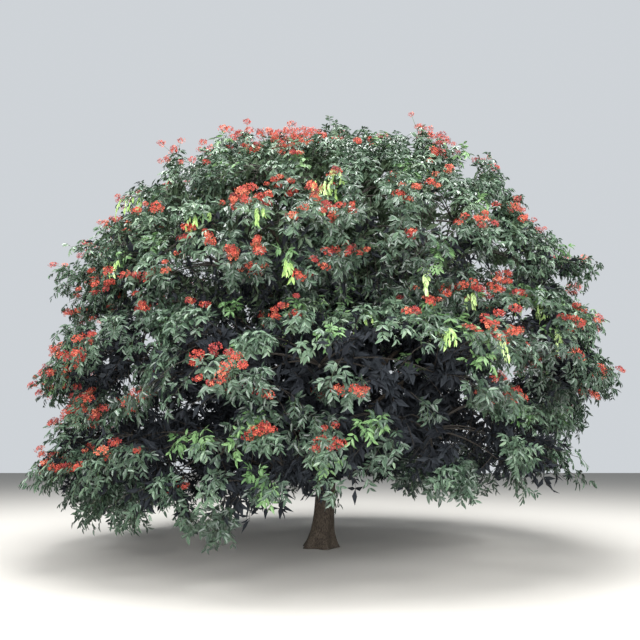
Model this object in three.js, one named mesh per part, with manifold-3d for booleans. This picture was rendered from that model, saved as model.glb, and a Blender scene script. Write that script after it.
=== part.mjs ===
// An ashoka tree in blossom: a short fluted trunk whose leader runs up inside a low, wide dome of
// foliage. The dome is built of drooping shelves in tiers. Each shelf is one mass, carried by one
// arching bough, and its twigs hold pinnate leaves and rounded heads of blossom.
// Millimetres, +Z up, the trunk's flat cut at ground level on the origin, seen from -Y.
import * as THREE from "three";
import { mergeVertices } from "three/addons/utils/BufferGeometryUtils.js";
import Module from "manifold-3d";

const wasm = await Module();
wasm.setup();

// Fit between two pieces that touch, and the room kept between two masses
const JOINT_GAP = 0.3;
const CELL_GAP = 22;

// How far the walls between the masses' spaces drop for each step outwards
const HANG = 0.52;

// Edges shorter than this are closed up where a mass is joined, and no face is left thinner
const SHORTEST_EDGE = 1;
const THINNEST_FACE = 0.05;
const NUDGES = [[0, 0, 0], [0, 0, 3], [2, 3, -4], [-5, 2, 1], [7, -6, 9], [-9, -11, 5]];

// Trunk: height up the leader and radius there, from the root flare to the tip
const TRUNK_PROFILE = [
  [0, 345],
  [110, 292],
  [300, 240],
  [620, 212],
  [1200, 196],
  [1900, 174],
  [2800, 148],
  [3900, 120],
  [5000, 92],
  [6100, 66],
  [7250, 40],
];
const TRUNK_SIDES = 14;
const ROOT_LOBES = 5;
const ROOT_LOBE_DEPTH = 0.17;
const ROOT_LOBE_HEIGHT = 380;
const TRUNK_LEAN = [300, 260];
const TRUNK_SWAY = 70;
const TRUNK_SWAY_LENGTH = 5200;

// Tiers of foliage from the ground up. height and reach place the middle of a mass, up and out from
// the trunk's leaning leader, deep, wide and tall are its half sizes, and droop is how far its outer edge hangs, in
// degrees. turn is the compass angle of the first mass. leaves_at is where the tier's boughs leave
// the trunk, step the rise from one bough to the next but one, and thick a bough's radius there.
const TIERS = [
  { name: "skirt", count: 7, turn: -64, reach: 3980, height: 1680, deep: 1150, wide: 1850, tall: 880,
    droop: 36, leaves_at: 1120, step: 300, thick: 60 },
  { name: "lower", count: 6, turn: -88, reach: 4040, height: 3250, deep: 1200, wide: 2100, tall: 880,
    droop: 26, leaves_at: 1720, step: 330, thick: 66 },
  { name: "middle", count: 6, turn: -118, reach: 3760, height: 4900, deep: 1250, wide: 1950, tall: 920,
    droop: 26, leaves_at: 2500, step: 380, thick: 62 },
  { name: "upper", count: 6, turn: -88, reach: 2950, height: 6350, deep: 1400, wide: 1800, tall: 900,
    droop: 30, leaves_at: 3700, step: 420, thick: 54 },
  { name: "high", count: 4, turn: -118, reach: 1750, height: 7350, deep: 1350, wide: 1750, tall: 820,
    droop: 26, leaves_at: 5000, step: 380, thick: 42 },
  { name: "top", count: 1, turn: -90, reach: 120, height: 8350, deep: 1300, wide: 1300, tall: 660,
    droop: 0, leaves_at: 0, step: 0, thick: 0 },
];

// The skirt hangs lowest on the left and is lifted and drawn in towards this side
const LIFTED_SIDE = -22;
const SKIRT_LIFT = 700;
const SKIRT_TUCK = 620;

// How far a seeded draw moves a mass, in mm, and turns it, in degrees, and how far every second mass
// of a tier is raised and the others lowered
const MASS_SHIFT = 110;
const MASS_TURN = 3.5;
const MASS_STAGGER = 200;

// Boughs: a spiral rise round the tier, as a share of its step, then shares of the bough's own span
// for how far it leaves outwards, how much of its climb it has made there and how long its arch is.
// It arrives between the mass's own heading and the straight line, and ends at a share of the mass's
// half depth and half height.
const BOUGH_TIP = 30;
const BOUGH_SIDES = 5;
const BOUGH_STEPS = 5;
const BOUGH_SPIRAL = 0.35;
const BOUGH_OUT = 0.32;
const BOUGH_CLIMB = 0.42;
const BOUGH_ARCH = 0.25;
const BOUGH_STRAIGHT = 0.8;
const BOUGH_ENTERS = 0.66;
const BOUGH_UNDER = 0.34;

// The stem inside a mass: where its tip lies out and over, how far it runs on as the bough did, and
// where along it the twigs fork
const STEM_TIP = 15;
const STEM_STEPS = 2;
const STEM_OUT = 0.2;
const TOP_STEM_UNDER = 0.1;
const STEM_RUN = 0.5;
const STEM_FORK = 0.7;

// The core of a mass: its shares of the mass's half sizes out, along and over, how far out it lies,
// and the steps by which a corner near another mass is drawn in
const CORE_SHARE = [0.52, 0.78, 0.72];
const CORE_OUT = 0.04;
const CORE_DENT = 0.14;
const CORE_SHRINKS = [1, 0.9, 0.8, 0.7, 0.6, 0.5, 0.4, 0.3];
const LIMB_ROOM = 45;

// Twigs: how far they fan out to each side, how steeply every second one climbs and the others run,
// and how far each reaches, as a share of the mass's half sizes
const TWIGS = 4;
const TWIG_FAN = 104;
const TWIG_STRAY = 7;
const TWIG_CLIMBS = [-6, 34];
const TWIG_CLIMB_MORE = [12, 10];
const TWIG_REACH = 0.72;
const TWIG_REACH_MORE = 0.11;
const TWIG_LIFT = 0.2;
const TWIG_BEND = 0.55;
const TWIG_FOOT = 26;
const TWIG_TIP = 14;
const TWIG_SIDES = 3;
const TWIG_STEPS = 2;
const TWIG_SAMPLES = 12;
const TWIG_CLEAR = 60;

// A leaf's blade: sizes at full length, its corners (length, width and rib) and its faces
const LEAF_LENGTH = 1200;
const LEAF_WIDTH = 460;
const LEAF_BOW = 50;
const LEAF_RIB = 70;
const BLADE_CORNERS = [-1, 0, 0, 1, 0, 0, 0, 1, 0, 0, -1, 0, 0, 0, 1];
const BLADE_FACES = [4, 0, 3, 4, 3, 1, 4, 1, 2, 4, 2, 0, 0, 2, 3, 1, 3, 2];

// How leaves are set: sizes tried in turn, places measured along one to keep it clear of limbs and
// apart from other leaves
const LEAF_SIZES = [1, 0.84, 0.68, 0.54, 0.42];
const LEAF_MIDLINE = [0.3, 0.5, 0.7, 0.9];
const LEAF_CLEAR = 25;
const LEAF_APART = 270;

// Leaves on the core: none on faces that look down or inwards beyond these. Each hangs, a little
// outwards, and stands off its face by a share, less so on top.
const LEAVES_ON_FACE = 3;
const LOWEST_FACE = -0.6;
const INMOST_FACE = -0.2;
const TOP_FACE = 0.45;
const FACE_MARGIN = 0.15;
const FACE_SPREAD = [0.4, 0.3];
const LEAF_HANG_OUT = 0.35;
const LEAF_STAND = 1;
const TOP_LEAF_STAND = 0.45;
const LEAF_STAND_RANGE = [0.7, 1.3];
const LEAF_SUNK = 40;

// Leaves on a twig: a pair at each place and one past its tip
const LEAF_PLACES = [0.84];
const LEAF_STAGGER = 0.07;
const LEAF_SPREAD = 62;
const LEAF_STRAY = 12;
const LEAF_DROOP_RANGE = [0.34, 0.5];
const LEAF_ROOTS = [-40, -4];

// Heads of blossom on the upper side of the twigs, on this share of them
const BLOSSOM_RADIUS = 165;
const BLOSSOM_TALL = 120;
const BLOSSOM_PLACE = 0.8;
const BLOSSOM_RISE = 70;
const BLOSSOM_SHARE = 0.6;

const BARK = new THREE.MeshStandardMaterial({ color: 0x5b5048, roughness: 0.92, metalness: 0 });
const FOLIAGE = new THREE.MeshStandardMaterial({ color: 0x2c4a34, roughness: 0.5, metalness: 0 });
const UP = new THREE.Vector3(0, 0, 1);

// A repeatable stream of numbers from 0 to 1
function seeded(seed) {
  let state = seed >>> 0;
  return () => {
    state = (Math.imul(state, 1664525) + 1013904223) >>> 0;
    return state / 4294967296;
  };
}

const degrees = THREE.MathUtils.degToRad;
const mix = THREE.MathUtils.lerp;

// A geometry as a closed solid that can be joined and cut
function solidOf(geometry) {
  geometry.deleteAttribute("normal");
  geometry.deleteAttribute("uv");
  const merged = mergeVertices(geometry, 1e-3);
  return new wasm.Manifold(
    new wasm.Mesh({
      numProp: 3,
      vertProperties: new Float32Array(merged.attributes.position.array),
      triVerts: new Uint32Array(merged.index.array),
    }),
  );
}

// The largest body of a solid, without loose bits or the pockets closed off inside it
function mainBody(solid) {
  return solid.decompose().sort((a, b) => b.volume() - a.volume())[0];
}

// True where no face of a solid is a sliver and no two of its corners share a place
function isSound(solid) {
  const { vertProperties, triVerts } = solid.getMesh();
  const corners = Array.from(triVerts, (v) => new THREE.Vector3().fromArray(vertProperties, 3 * v));
  for (let first = 0; first < corners.length; first += 3) {
    const [a, b, c] = corners.slice(first, first + 3);
    const longest = Math.max(a.distanceTo(b), b.distanceTo(c), c.distanceTo(a));
    if ((2 * new THREE.Triangle(a, b, c).getArea()) / longest < THINNEST_FACE) return false;
  }
  const places = new Set(corners.map((corner) => corner.toArray().map((n) => n.toFixed(3)).join()));
  return places.size === solid.numVert();
}

// A solid as a named mesh
function meshOf(name, solid, material) {
  const { vertProperties, triVerts } = solid.getMesh();
  const geometry = new THREE.BufferGeometry();
  geometry.setAttribute("position", new THREE.BufferAttribute(vertProperties, 3));
  geometry.setIndex(new THREE.BufferAttribute(triVerts, 1));
  geometry.computeVertexNormals();
  const mesh = new THREE.Mesh(geometry, material);
  mesh.name = name;
  return mesh;
}

// Moves each vertex of a geometry to where place(x, y, z) puts it
function reshape(geometry, place) {
  const position = geometry.attributes.position;
  for (let i = 0; i < position.count; i++) {
    const moved = place(position.getX(i), position.getY(i), position.getZ(i));
    position.setXYZ(i, moved.x, moved.y, moved.z);
  }
  return geometry;
}

// A tapering round limb along a curve, with flat ends square to it
function limb(curve, footRadius, tipRadius, sides, steps, grown = 0) {
  const frames = curve.computeFrenetFrames(steps, false);
  const tube = new THREE.CylinderGeometry(1, 1, 1, sides, steps);
  return reshape(tube, (x, y, z) => {
    const step = Math.round((y + 0.5) * steps);
    const share = step / steps;
    const radius = mix(footRadius, tipRadius, share) + grown;
    return curve
      .getPointAt(share)
      .addScaledVector(frames.normals[step], radius * x)
      .addScaledVector(frames.binormals[step], -radius * z);
  });
}

// Where the middle of the trunk is at a height: it leans a little and sways as it rises
function trunkMiddle(height) {
  const top = TRUNK_PROFILE.at(-1)[0];
  const share = height / top;
  const sway = TRUNK_SWAY * Math.sin((2 * Math.PI * height) / TRUNK_SWAY_LENGTH);
  return new THREE.Vector3(TRUNK_LEAN[0] * share + sway, TRUNK_LEAN[1] * share * share, height);
}

// The trunk's radius at a height, before its root lobes
function trunkRadius(height) {
  const above = TRUNK_PROFILE.findIndex(([z]) => z >= height);
  if (above < 1) return TRUNK_PROFILE[above === 0 ? 0 : TRUNK_PROFILE.length - 1][1];
  const [lowZ, lowRadius] = TRUNK_PROFILE[above - 1];
  const [highZ, highRadius] = TRUNK_PROFILE[above];
  return mix(lowRadius, highRadius, (height - lowZ) / (highZ - lowZ));
}

// The trunk: its profile turned about its middle, with lobes at the root flare that die out upwards
function trunkGeometry(grown = 0) {
  const outline = TRUNK_PROFILE.map(([z, radius]) => new THREE.Vector2(radius + grown, z));
  const foot = new THREE.Vector2(0, 0);
  const tip = new THREE.Vector2(0, TRUNK_PROFILE.at(-1)[0]);
  const turned = new THREE.LatheGeometry([foot, ...outline, tip], TRUNK_SIDES);
  return reshape(turned, (x, height, z) => {
    const angle = Math.atan2(z, x);
    const flare = ROOT_LOBE_DEPTH * Math.exp(-height / ROOT_LOBE_HEIGHT);
    const lobes = 1 + flare * Math.cos(ROOT_LOBES * angle);
    return trunkMiddle(height).add(new THREE.Vector3(x * lobes, -z * lobes, 0));
  });
}

// How much of the lift on the lifted side reaches a compass angle: 1 there, 0 opposite
function liftAt(angle) {
  return (1 + Math.cos(angle - degrees(LIFTED_SIDE))) / 2;
}

// The place and axes of every mass, worked out tier by tier
function placeMasses() {
  const masses = [];
  TIERS.forEach((tier, tierIndex) => {
    for (let i = 0; i < tier.count; i++) {
      const draw = seeded(1000 * (tierIndex + 1) + i);
      const turn = tier.turn + (360 / tier.count) * i + MASS_TURN * (2 * draw() - 1);
      const angle = degrees(turn);
      const lift = tier.name === "skirt" ? liftAt(angle) : 0;
      const reach = tier.reach - SKIRT_TUCK * lift + MASS_SHIFT * (2 * draw() - 1);
      const stagger = tier.count > 1 ? MASS_STAGGER * (i % 2 ? 1 : -1) : 0;
      const height = tier.height + SKIRT_LIFT * lift + stagger + MASS_SHIFT * (2 * draw() - 1);
      const outward = new THREE.Vector3(Math.cos(angle), Math.sin(angle), 0);
      const along = new THREE.Vector3(-Math.sin(angle), Math.cos(angle), 0);
      const out = outward.clone().applyAxisAngle(along, degrees(tier.droop));
      const over = new THREE.Vector3().crossVectors(out, along);
      const middle = trunkMiddle(height).addScaledVector(outward, reach);
      const name = tier.count > 1 ? `${tier.name}_${i + 1}` : tier.name;
      const taken = [];
      masses.push({ name, tier, index: i, outward, out, along, over, middle, draw, taken });
    }
  });
  return masses;
}

// A point in a mass, from shares of its half sizes out, along and over
function inMass(mass, out, along, over) {
  return mass.middle
    .clone()
    .addScaledVector(mass.out, out * mass.tier.deep)
    .addScaledVector(mass.along, along * mass.tier.wide)
    .addScaledVector(mass.over, over * mass.tier.tall);
}

// The bough of a mass: it leaves the trunk, climbs, arches over and runs in at the mass's inner end
function boughCurve(mass) {
  const { tier, index } = mass;
  const risen = (index % 2) + BOUGH_SPIRAL * (index / tier.count);
  const foot = trunkMiddle(tier.leaves_at + tier.step * risen);
  const tip = inMass(mass, -BOUGH_ENTERS, 0, -BOUGH_UNDER);
  const span = foot.distanceTo(tip);
  const leaving = foot.clone().addScaledVector(mass.outward, BOUGH_OUT * span);
  leaving.z += BOUGH_CLIMB * (tip.z - foot.z);
  const straight = tip.clone().sub(foot).normalize();
  const heading = straight.multiplyScalar(BOUGH_STRAIGHT).add(mass.out).normalize();
  const arriving = tip.clone().addScaledVector(heading, -BOUGH_ARCH * span);
  return new THREE.CubicBezierCurve3(foot, leaving, arriving, tip);
}

const trunk = solidOf(trunkGeometry());
const masses = placeMasses();

// Every limb as a chain of points with a radius, for keeping twigs and leaves clear of them
const limbs = [];

function addLimbSamples(pointAt, radiusAt, count) {
  for (let i = 0; i <= count; i++) {
    limbs.push({ at: pointAt(i / count), radius: radiusAt(i / count) });
  }
}

addLimbSamples(
  (share) => trunkMiddle(share * TRUNK_PROFILE.at(-1)[0]),
  (share) => trunkRadius(share * TRUNK_PROFILE.at(-1)[0]),
  90,
);

// The room that each limb keeps free of the cores
const roomForLimbs = [solidOf(trunkGeometry(LIMB_ROOM))];

const group = new THREE.Group();
group.add(meshOf("trunk", trunk, BARK));

// Boughs, each cut clear of the trunk it grows from
const trunkWithFit = solidOf(trunkGeometry(JOINT_GAP));
for (const mass of masses) {
  if (!mass.tier.thick) {
    mass.tip = trunkMiddle(TRUNK_PROFILE.at(-1)[0]);
    mass.entry = UP.clone();
    mass.tipRadius = TRUNK_PROFILE.at(-1)[1];
    continue;
  }
  const curve = boughCurve(mass);
  const whole = solidOf(limb(curve, mass.tier.thick, BOUGH_TIP, BOUGH_SIDES, BOUGH_STEPS));
  const room = limb(curve, mass.tier.thick, BOUGH_TIP, BOUGH_SIDES, BOUGH_STEPS, LIMB_ROOM);
  roomForLimbs.push(solidOf(room));
  group.add(meshOf(`bough_${mass.name}`, mainBody(whole.subtract(trunkWithFit)), BARK));
  addLimbSamples(
    (share) => curve.getPoint(share),
    (share) => mix(mass.tier.thick, BOUGH_TIP, share),
    40,
  );
  mass.tip = curve.getPoint(1);
  mass.entry = curve.getTangent(1);
  mass.tipRadius = BOUGH_TIP;
}

// A point raised by its distance from the trunk's foot, so that what hangs outwards becomes level
function unhung(point) {
  return point.clone().setZ(point.z + HANG * Math.hypot(point.x, point.y));
}

// True where every point, unhung, is nearer to this mass's middle than to any other's, by the cell
// gap. So the shelves' spaces meet along walls that slope down outwards, and each hangs over the next.
function inOwnCell(mass, points) {
  const own = unhung(mass.middle);
  const level = points.map(unhung);
  return masses.every((other) => {
    if (other === mass) return true;
    const far = unhung(other.middle);
    const room = 2 * CELL_GAP * own.distanceTo(far);
    return level.every((p) => p.distanceToSquared(own) + room < p.distanceToSquared(far));
  });
}

// True where no point is within clearance of a limb
function clearOfLimbs(points, clearance) {
  return limbs.every(({ at, radius }) =>
    points.every((p) => p.distanceTo(at) > radius + clearance),
  );
}

// One leaf stands for a spray: a lozenge-shaped blade with a raised rib, bowed along its length. It
// has a root, a tip, two sides and the rib's top for corners, so six faces.
function leafGeometry(root, direction, size) {
  const length = LEAF_LENGTH * size;
  const across = new THREE.Vector3().crossVectors(UP, direction).normalize();
  const face = new THREE.Vector3().crossVectors(direction, across);
  const blade = new THREE.PolyhedronGeometry(BLADE_CORNERS, BLADE_FACES, 1, 0);
  return reshape(blade, (x, y, z) => {
    const raised = (1 - x * x) * (LEAF_BOW + LEAF_RIB * z) * size;
    return root
      .clone()
      .addScaledVector(direction, ((x + 1) / 2) * length)
      .addScaledVector(across, (y * LEAF_WIDTH * size) / 2)
      .addScaledVector(face, raised);
  });
}

function pointsOf(geometry) {
  const { position } = geometry.attributes;
  const points = [];
  for (let i = 0; i < position.count; i++) {
    points.push(new THREE.Vector3().fromBufferAttribute(position, i));
  }
  return points;
}

// Joins a piece to a mass. Where the joint would leave a sliver or a pinched corner, the piece is
// nudged a little, and left out if no nudge helps.
function fuse(mass, solid) {
  return NUDGES.some((nudge) => {
    const joined = mass.body.add(solid.translate(nudge));
    const body = [joined.simplify(SHORTEST_EDGE), joined].map(mainBody).find(isSound);
    if (body) mass.body = body;
    return Boolean(body);
  });
}

// Adds a leaf to a mass, shortened where the full one would leave the mass's space
function addLeaf(mass, root, direction) {
  for (const size of LEAF_SIZES) {
    const geometry = leafGeometry(root, direction, size);
    const midline = LEAF_MIDLINE.map((share) =>
      root.clone().addScaledVector(direction, share * LEAF_LENGTH * size),
    );
    const apart = mass.taken.every((q) => midline.every((p) => p.distanceTo(q) > LEAF_APART));
    const corners = pointsOf(geometry);
    const blade = corners.flatMap((p) => midline.map((q) => p.clone().lerp(q, 0.5)));
    const clear = clearOfLimbs([...corners, ...midline, ...blade], LEAF_CLEAR);
    if (apart && clear && inOwnCell(mass, corners) && fuse(mass, solidOf(geometry))) {
      mass.taken.push(...midline);
      return;
    }
  }
}

// The solid heart of a mass, which the twigs stand out of: a dented ball. A corner that would be too
// near another mass is drawn in towards the middle.
function coreGeometry(mass) {
  const middle = inMass(mass, CORE_OUT, 0, 0);
  const [out, along, over] = CORE_SHARE;
  return reshape(new THREE.OctahedronGeometry(1, 1), (x, y, z) => {
    const dent = 1 - CORE_DENT * Math.sin(5 * x + mass.index) * Math.cos(4 * y + 2 * z);
    const corner = inMass(mass, CORE_OUT + x * out * dent, y * along * dent, z * over * dent);
    const drawnIn = (share) => middle.clone().lerp(corner, share);
    return drawnIn(CORE_SHRINKS.find((share) => inOwnCell(mass, [drawnIn(share)])));
  });
}

// The heart cut clear of every limb that passes it
function coreSolid(geometry) {
  return mainBody(roomForLimbs.reduce((core, room) => core.subtract(room), solidOf(geometry)));
}

// A draw turned into a number between two ends, or into one to either side of nought
function between([low, high], draw) {
  return mix(low, high, draw());
}

function either(most, draw) {
  return most * (2 * draw() - 1);
}

// A twig of a mass, from its stem to a point near its surface, climbing first and then hanging over
function twigCurve(mass, index, foot) {
  const { draw } = mass;
  const around = mass.tier.droop
    ? TWIG_FAN * ((2 * index) / (TWIGS - 1) - 1)
    : (360 / TWIGS) * index;
  const fan = degrees(around + either(TWIG_STRAY, draw));
  const kind = index % 2;
  const climb = degrees(TWIG_CLIMBS[kind] + TWIG_CLIMB_MORE[kind] * draw());
  const reach = TWIG_REACH + TWIG_REACH_MORE * draw();
  const level = reach * Math.cos(climb);
  const tip = inMass(mass, level * Math.cos(fan), level * Math.sin(fan), reach * Math.sin(climb));
  const bend = foot.clone().lerp(tip, TWIG_BEND);
  bend.z += TWIG_LIFT * foot.distanceTo(tip);
  return new THREE.QuadraticBezierCurve3(foot, bend, tip);
}

// The stem of a mass, from its bough's tip to near its middle
function stemCurve(mass) {
  const foot = mass.tip.clone().addScaledVector(mass.entry, JOINT_GAP);
  const heart = inMass(mass, STEM_OUT, 0, mass.tier.droop ? 0 : -TOP_STEM_UNDER);
  const bend = foot.clone().addScaledVector(mass.entry, STEM_RUN * foot.distanceTo(heart));
  return new THREE.QuadraticBezierCurve3(foot, bend, heart);
}

// One mass: stem, core, twigs, leaves and blossom heads, joined into one solid
function growMass(mass) {
  const stem = stemCurve(mass);
  mass.body = solidOf(limb(stem, mass.tipRadius, STEM_TIP, BOUGH_SIDES, STEM_STEPS));
  const core = coreGeometry(mass);
  const coreCorners = pointsOf(core);
  fuse(mass, coreSolid(core));
  const fork = stem.getPoint(STEM_FORK);
  const curves = Array.from({ length: TWIGS }, (_, i) => twigCurve(mass, i, fork));
  for (const curve of curves) {
    const twig = limb(curve, TWIG_FOOT, TWIG_TIP, TWIG_SIDES, TWIG_STEPS);
    const inside = inOwnCell(mass, pointsOf(twig));
    if (!inside || !clearOfLimbs(curve.getPoints(TWIG_SAMPLES), TWIG_CLEAR)) continue;
    if (!fuse(mass, solidOf(twig))) continue;
    growBlossom(mass, curve);
    growTwigLeaves(mass, curve);
  }
  growCoreLeaves(mass, coreCorners);
  return mass.body;
}

// Leaves that stand out of the core's faces and hang down over it
function growCoreLeaves(mass, corners) {
  const { draw, outward } = mass;
  for (let first = 0; first < corners.length; first += 3) {
    const face = new THREE.Triangle(...corners.slice(first, first + 3));
    const normal = face.getNormal(new THREE.Vector3());
    const upward = normal.dot(UP);
    const inmost = normal.dot(outward) < INMOST_FACE && upward < TOP_FACE;
    if (upward < LOWEST_FACE || inmost) continue;
    for (let i = 0; i < LEAVES_ON_FACE; i++) {
      const [toB, toC] = FACE_SPREAD.map((spread) => FACE_MARGIN + spread * draw());
      const root = face.a.clone().multiplyScalar(1 - toB - toC);
      root.addScaledVector(face.b, toB).addScaledVector(face.c, toC);
      const hanging = outward.clone().multiplyScalar(LEAF_HANG_OUT).sub(UP);
      hanging.addScaledVector(normal, -hanging.dot(normal)).normalize();
      const stand = mix(LEAF_STAND, TOP_LEAF_STAND, Math.max(0, upward));
      const direction = hanging.addScaledVector(normal, stand * between(LEAF_STAND_RANGE, draw));
      addLeaf(mass, root.addScaledVector(normal, -LEAF_SUNK), direction.normalize());
    }
  }
}

// Leaves in pairs along the outer half of a twig and one past its tip, all hanging
function growTwigLeaves(mass, curve) {
  for (const place of [...LEAF_PLACES, 1]) {
    const heading = curve.getTangent(place);
    for (const side of place < 1 ? [-1, 1] : [0]) {
      const turn = side * degrees(LEAF_SPREAD + either(LEAF_STRAY, mass.draw));
      const direction = heading.clone().applyAxisAngle(mass.over, turn);
      direction.z -= between(LEAF_DROOP_RANGE, mass.draw);
      direction.normalize();
      const root = curve.getPoint(place - LEAF_STAGGER * (side > 0));
      addLeaf(mass, root.addScaledVector(direction, LEAF_ROOTS[Math.abs(side)]), direction);
    }
  }
}

// A rounded head of blossom that stands up out of a twig's upper side
function growBlossom(mass, curve) {
  if (mass.draw() > BLOSSOM_SHARE) return;
  const middle = curve.getPoint(BLOSSOM_PLACE).addScaledVector(UP, BLOSSOM_RISE);
  const ball = new THREE.IcosahedronGeometry(1, 0).rotateX(mass.draw()).rotateZ(mass.draw());
  ball.scale(BLOSSOM_RADIUS, BLOSSOM_RADIUS, BLOSSOM_TALL).translate(...middle);
  if (!inOwnCell(mass, pointsOf(ball)) || !clearOfLimbs([middle], BLOSSOM_RADIUS)) return;
  if (fuse(mass, solidOf(ball))) mass.taken.push(middle);
}

for (const mass of masses) {
  group.add(meshOf(`foliage_${mass.name}`, growMass(mass), FOLIAGE));
}

export default group;
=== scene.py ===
import math
from functools import lru_cache

import bpy
import numpy as np
from bpy.props import FloatProperty, FloatVectorProperty, IntProperty, PointerProperty
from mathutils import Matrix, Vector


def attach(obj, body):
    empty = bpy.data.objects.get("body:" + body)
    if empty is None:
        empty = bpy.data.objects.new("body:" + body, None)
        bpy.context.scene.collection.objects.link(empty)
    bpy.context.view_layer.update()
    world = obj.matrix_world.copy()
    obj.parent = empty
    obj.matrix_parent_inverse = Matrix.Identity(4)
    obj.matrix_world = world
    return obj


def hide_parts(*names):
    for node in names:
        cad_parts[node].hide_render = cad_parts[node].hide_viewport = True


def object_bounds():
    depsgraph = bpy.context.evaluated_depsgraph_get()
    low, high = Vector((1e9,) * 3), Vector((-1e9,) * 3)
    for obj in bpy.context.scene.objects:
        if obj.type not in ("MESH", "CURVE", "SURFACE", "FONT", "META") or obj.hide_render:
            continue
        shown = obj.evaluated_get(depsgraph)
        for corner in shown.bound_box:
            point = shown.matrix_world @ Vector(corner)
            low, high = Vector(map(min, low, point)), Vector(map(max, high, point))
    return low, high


bl_info = {
    "name": "Ashoka tree dressing",
    "version": (1, 0, 0),
    "blender": (4, 5, 0),
    "location": "3D View > Sidebar > Ashoka",
    "description": "Bark, twigs, leaves and blossom for an ashoka tree",
    "category": "Object",
}

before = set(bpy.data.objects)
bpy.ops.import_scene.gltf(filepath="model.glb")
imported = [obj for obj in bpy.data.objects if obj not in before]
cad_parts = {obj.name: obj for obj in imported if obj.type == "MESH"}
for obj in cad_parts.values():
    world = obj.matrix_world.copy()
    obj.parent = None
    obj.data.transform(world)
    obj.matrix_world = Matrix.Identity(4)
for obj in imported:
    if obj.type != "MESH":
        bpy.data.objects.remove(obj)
CAD_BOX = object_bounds()

UP = np.array([0.0, 0.0, 1.0])
GOLDEN_ANGLE = math.pi * (3 - math.sqrt(5))

# Seeds of the random draws, one stream for each kind of thing that is dealt
SEEDS = {"sprays": 41, "leaves": 67, "shade": 83, "shoots": 97, "heads": 131, "flowers": 151,
         "shoot leaves": 171}

# Trunk: height up the leader and radius there, from the root flare to the tip
TRUNK_PROFILE = np.array([
    [0, 0.345], [0.11, 0.292], [0.3, 0.24], [0.62, 0.212], [1.2, 0.196], [1.9, 0.174],
    [2.8, 0.148], [3.9, 0.12], [5.0, 0.092], [6.1, 0.066], [7.25, 0.04],
])
TRUNK_TOP = TRUNK_PROFILE[-1, 0]
ROOT_LOBES = 5
ROOT_LOBE_DEPTH = 0.17
ROOT_LOBE_HEIGHT = 0.38
TRUNK_LEAN = (0.3, 0.26)
TRUNK_SWAY = 0.07
TRUNK_SWAY_LENGTH = 5.2

# Tiers of foliage: name, count, turn, reach, height, half sizes deep, wide and tall, droop, where the
# boughs leave the trunk, their step and their radius there
TIERS = [
    ("skirt", 7, -64, 3.98, 1.68, 1.15, 1.85, 0.88, 36, 1.12, 0.3, 0.06),
    ("lower", 6, -88, 4.04, 3.25, 1.2, 2.1, 0.88, 26, 1.72, 0.33, 0.066),
    ("middle", 6, -118, 3.76, 4.9, 1.25, 1.95, 0.92, 26, 2.5, 0.38, 0.062),
    ("upper", 6, -88, 2.95, 6.35, 1.4, 1.8, 0.9, 30, 3.7, 0.42, 0.054),
    ("high", 4, -118, 1.75, 7.35, 1.35, 1.75, 0.82, 26, 5.0, 0.38, 0.042),
    ("top", 1, -90, 0.12, 8.35, 1.3, 1.3, 0.66, 0, 0, 0, 0),
]
LIFTED_SIDE = -22
SKIRT_LIFT = 0.7
SKIRT_TUCK = 0.62
MASS_SHIFT = 0.11
MASS_TURN = 3.5
MASS_STAGGER = 0.2

# Boughs and stems, as in the solids
BOUGH_TIP = 0.03
BOUGH_SPIRAL = 0.35
BOUGH_OUT = 0.32
BOUGH_CLIMB = 0.42
BOUGH_ARCH = 0.25
BOUGH_STRAIGHT = 0.8
BOUGH_ENTERS = 0.66
BOUGH_UNDER = 0.34
STEM_TIP = 0.015
STEM_OUT = 0.2
TOP_STEM_UNDER = 0.1
STEM_RUN = 0.5
STEM_FORK = 0.7

# Twigs, as in the solids, and more between them
TWIGS = 4
TWIG_FAN = 104
TWIG_STRAY = 7
TWIG_CLIMBS = (-6, 34)
TWIG_CLIMB_MORE = (12, 10)
TWIG_REACH = 0.72
TWIG_REACH_MORE = 0.11
TWIG_LIFT = 0.2
TWIG_BEND = 0.55

# Shoulders between neighbouring masses, as shares of their reach and half sizes
SHOULDER_REACH = 0.96
SHOULDER_HALF = np.array([0.8, 0.6, 0.95])


def linear(code):
    """An sRGB hex colour as linear red, green and blue."""
    parts = [(code >> shift & 255) / 255 for shift in (16, 8, 0)]
    return [c / 12.92 if c <= 0.04045 else ((c + 0.055) / 1.055) ** 2.4 for c in parts]


def unit(v):
    """Vectors scaled to length one."""
    return v / np.maximum(np.linalg.norm(v, axis=-1, keepdims=True), 1e-9)


def seeded(seed):
    """The solids' stream of numbers from 0 to 1: state times 1664525 plus 1013904223, in 32 bits."""
    state = seed
    while True:
        state = (state * 1664525 + 1013904223) & 0xFFFFFFFF
        yield state / 4294967296


def quadratic(a, b, c, t):
    """Points on the curves that start at a, head for b and end at c, for shares t of the way."""
    t = np.asarray(t)[..., None]
    return a * (1 - t) ** 2 + b * 2 * t * (1 - t) + c * t**2


def quadratic_heading(a, b, c, t):
    """Unit tangents of the same curves."""
    t = np.asarray(t)[..., None]
    return unit((b - a) * (1 - t) + (c - b) * t)


def cubic(a, b, c, d, t):
    """Points on a curve that leaves a towards b and comes into d from c."""
    t = np.asarray(t)[..., None]
    return a * (1 - t) ** 3 + b * 3 * t * (1 - t) ** 2 + c * 3 * t**2 * (1 - t) + d * t**3


def trunk_middle(height):
    """The trunk's middle at a height: a lean with the square of the height, and one slow sway."""
    height = np.asarray(height, float)
    share = height / TRUNK_TOP
    sway = TRUNK_SWAY * np.sin(2 * math.pi * height / TRUNK_SWAY_LENGTH)
    return np.stack([TRUNK_LEAN[0] * share + sway, TRUNK_LEAN[1] * share**2, height], axis=-1)


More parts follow.
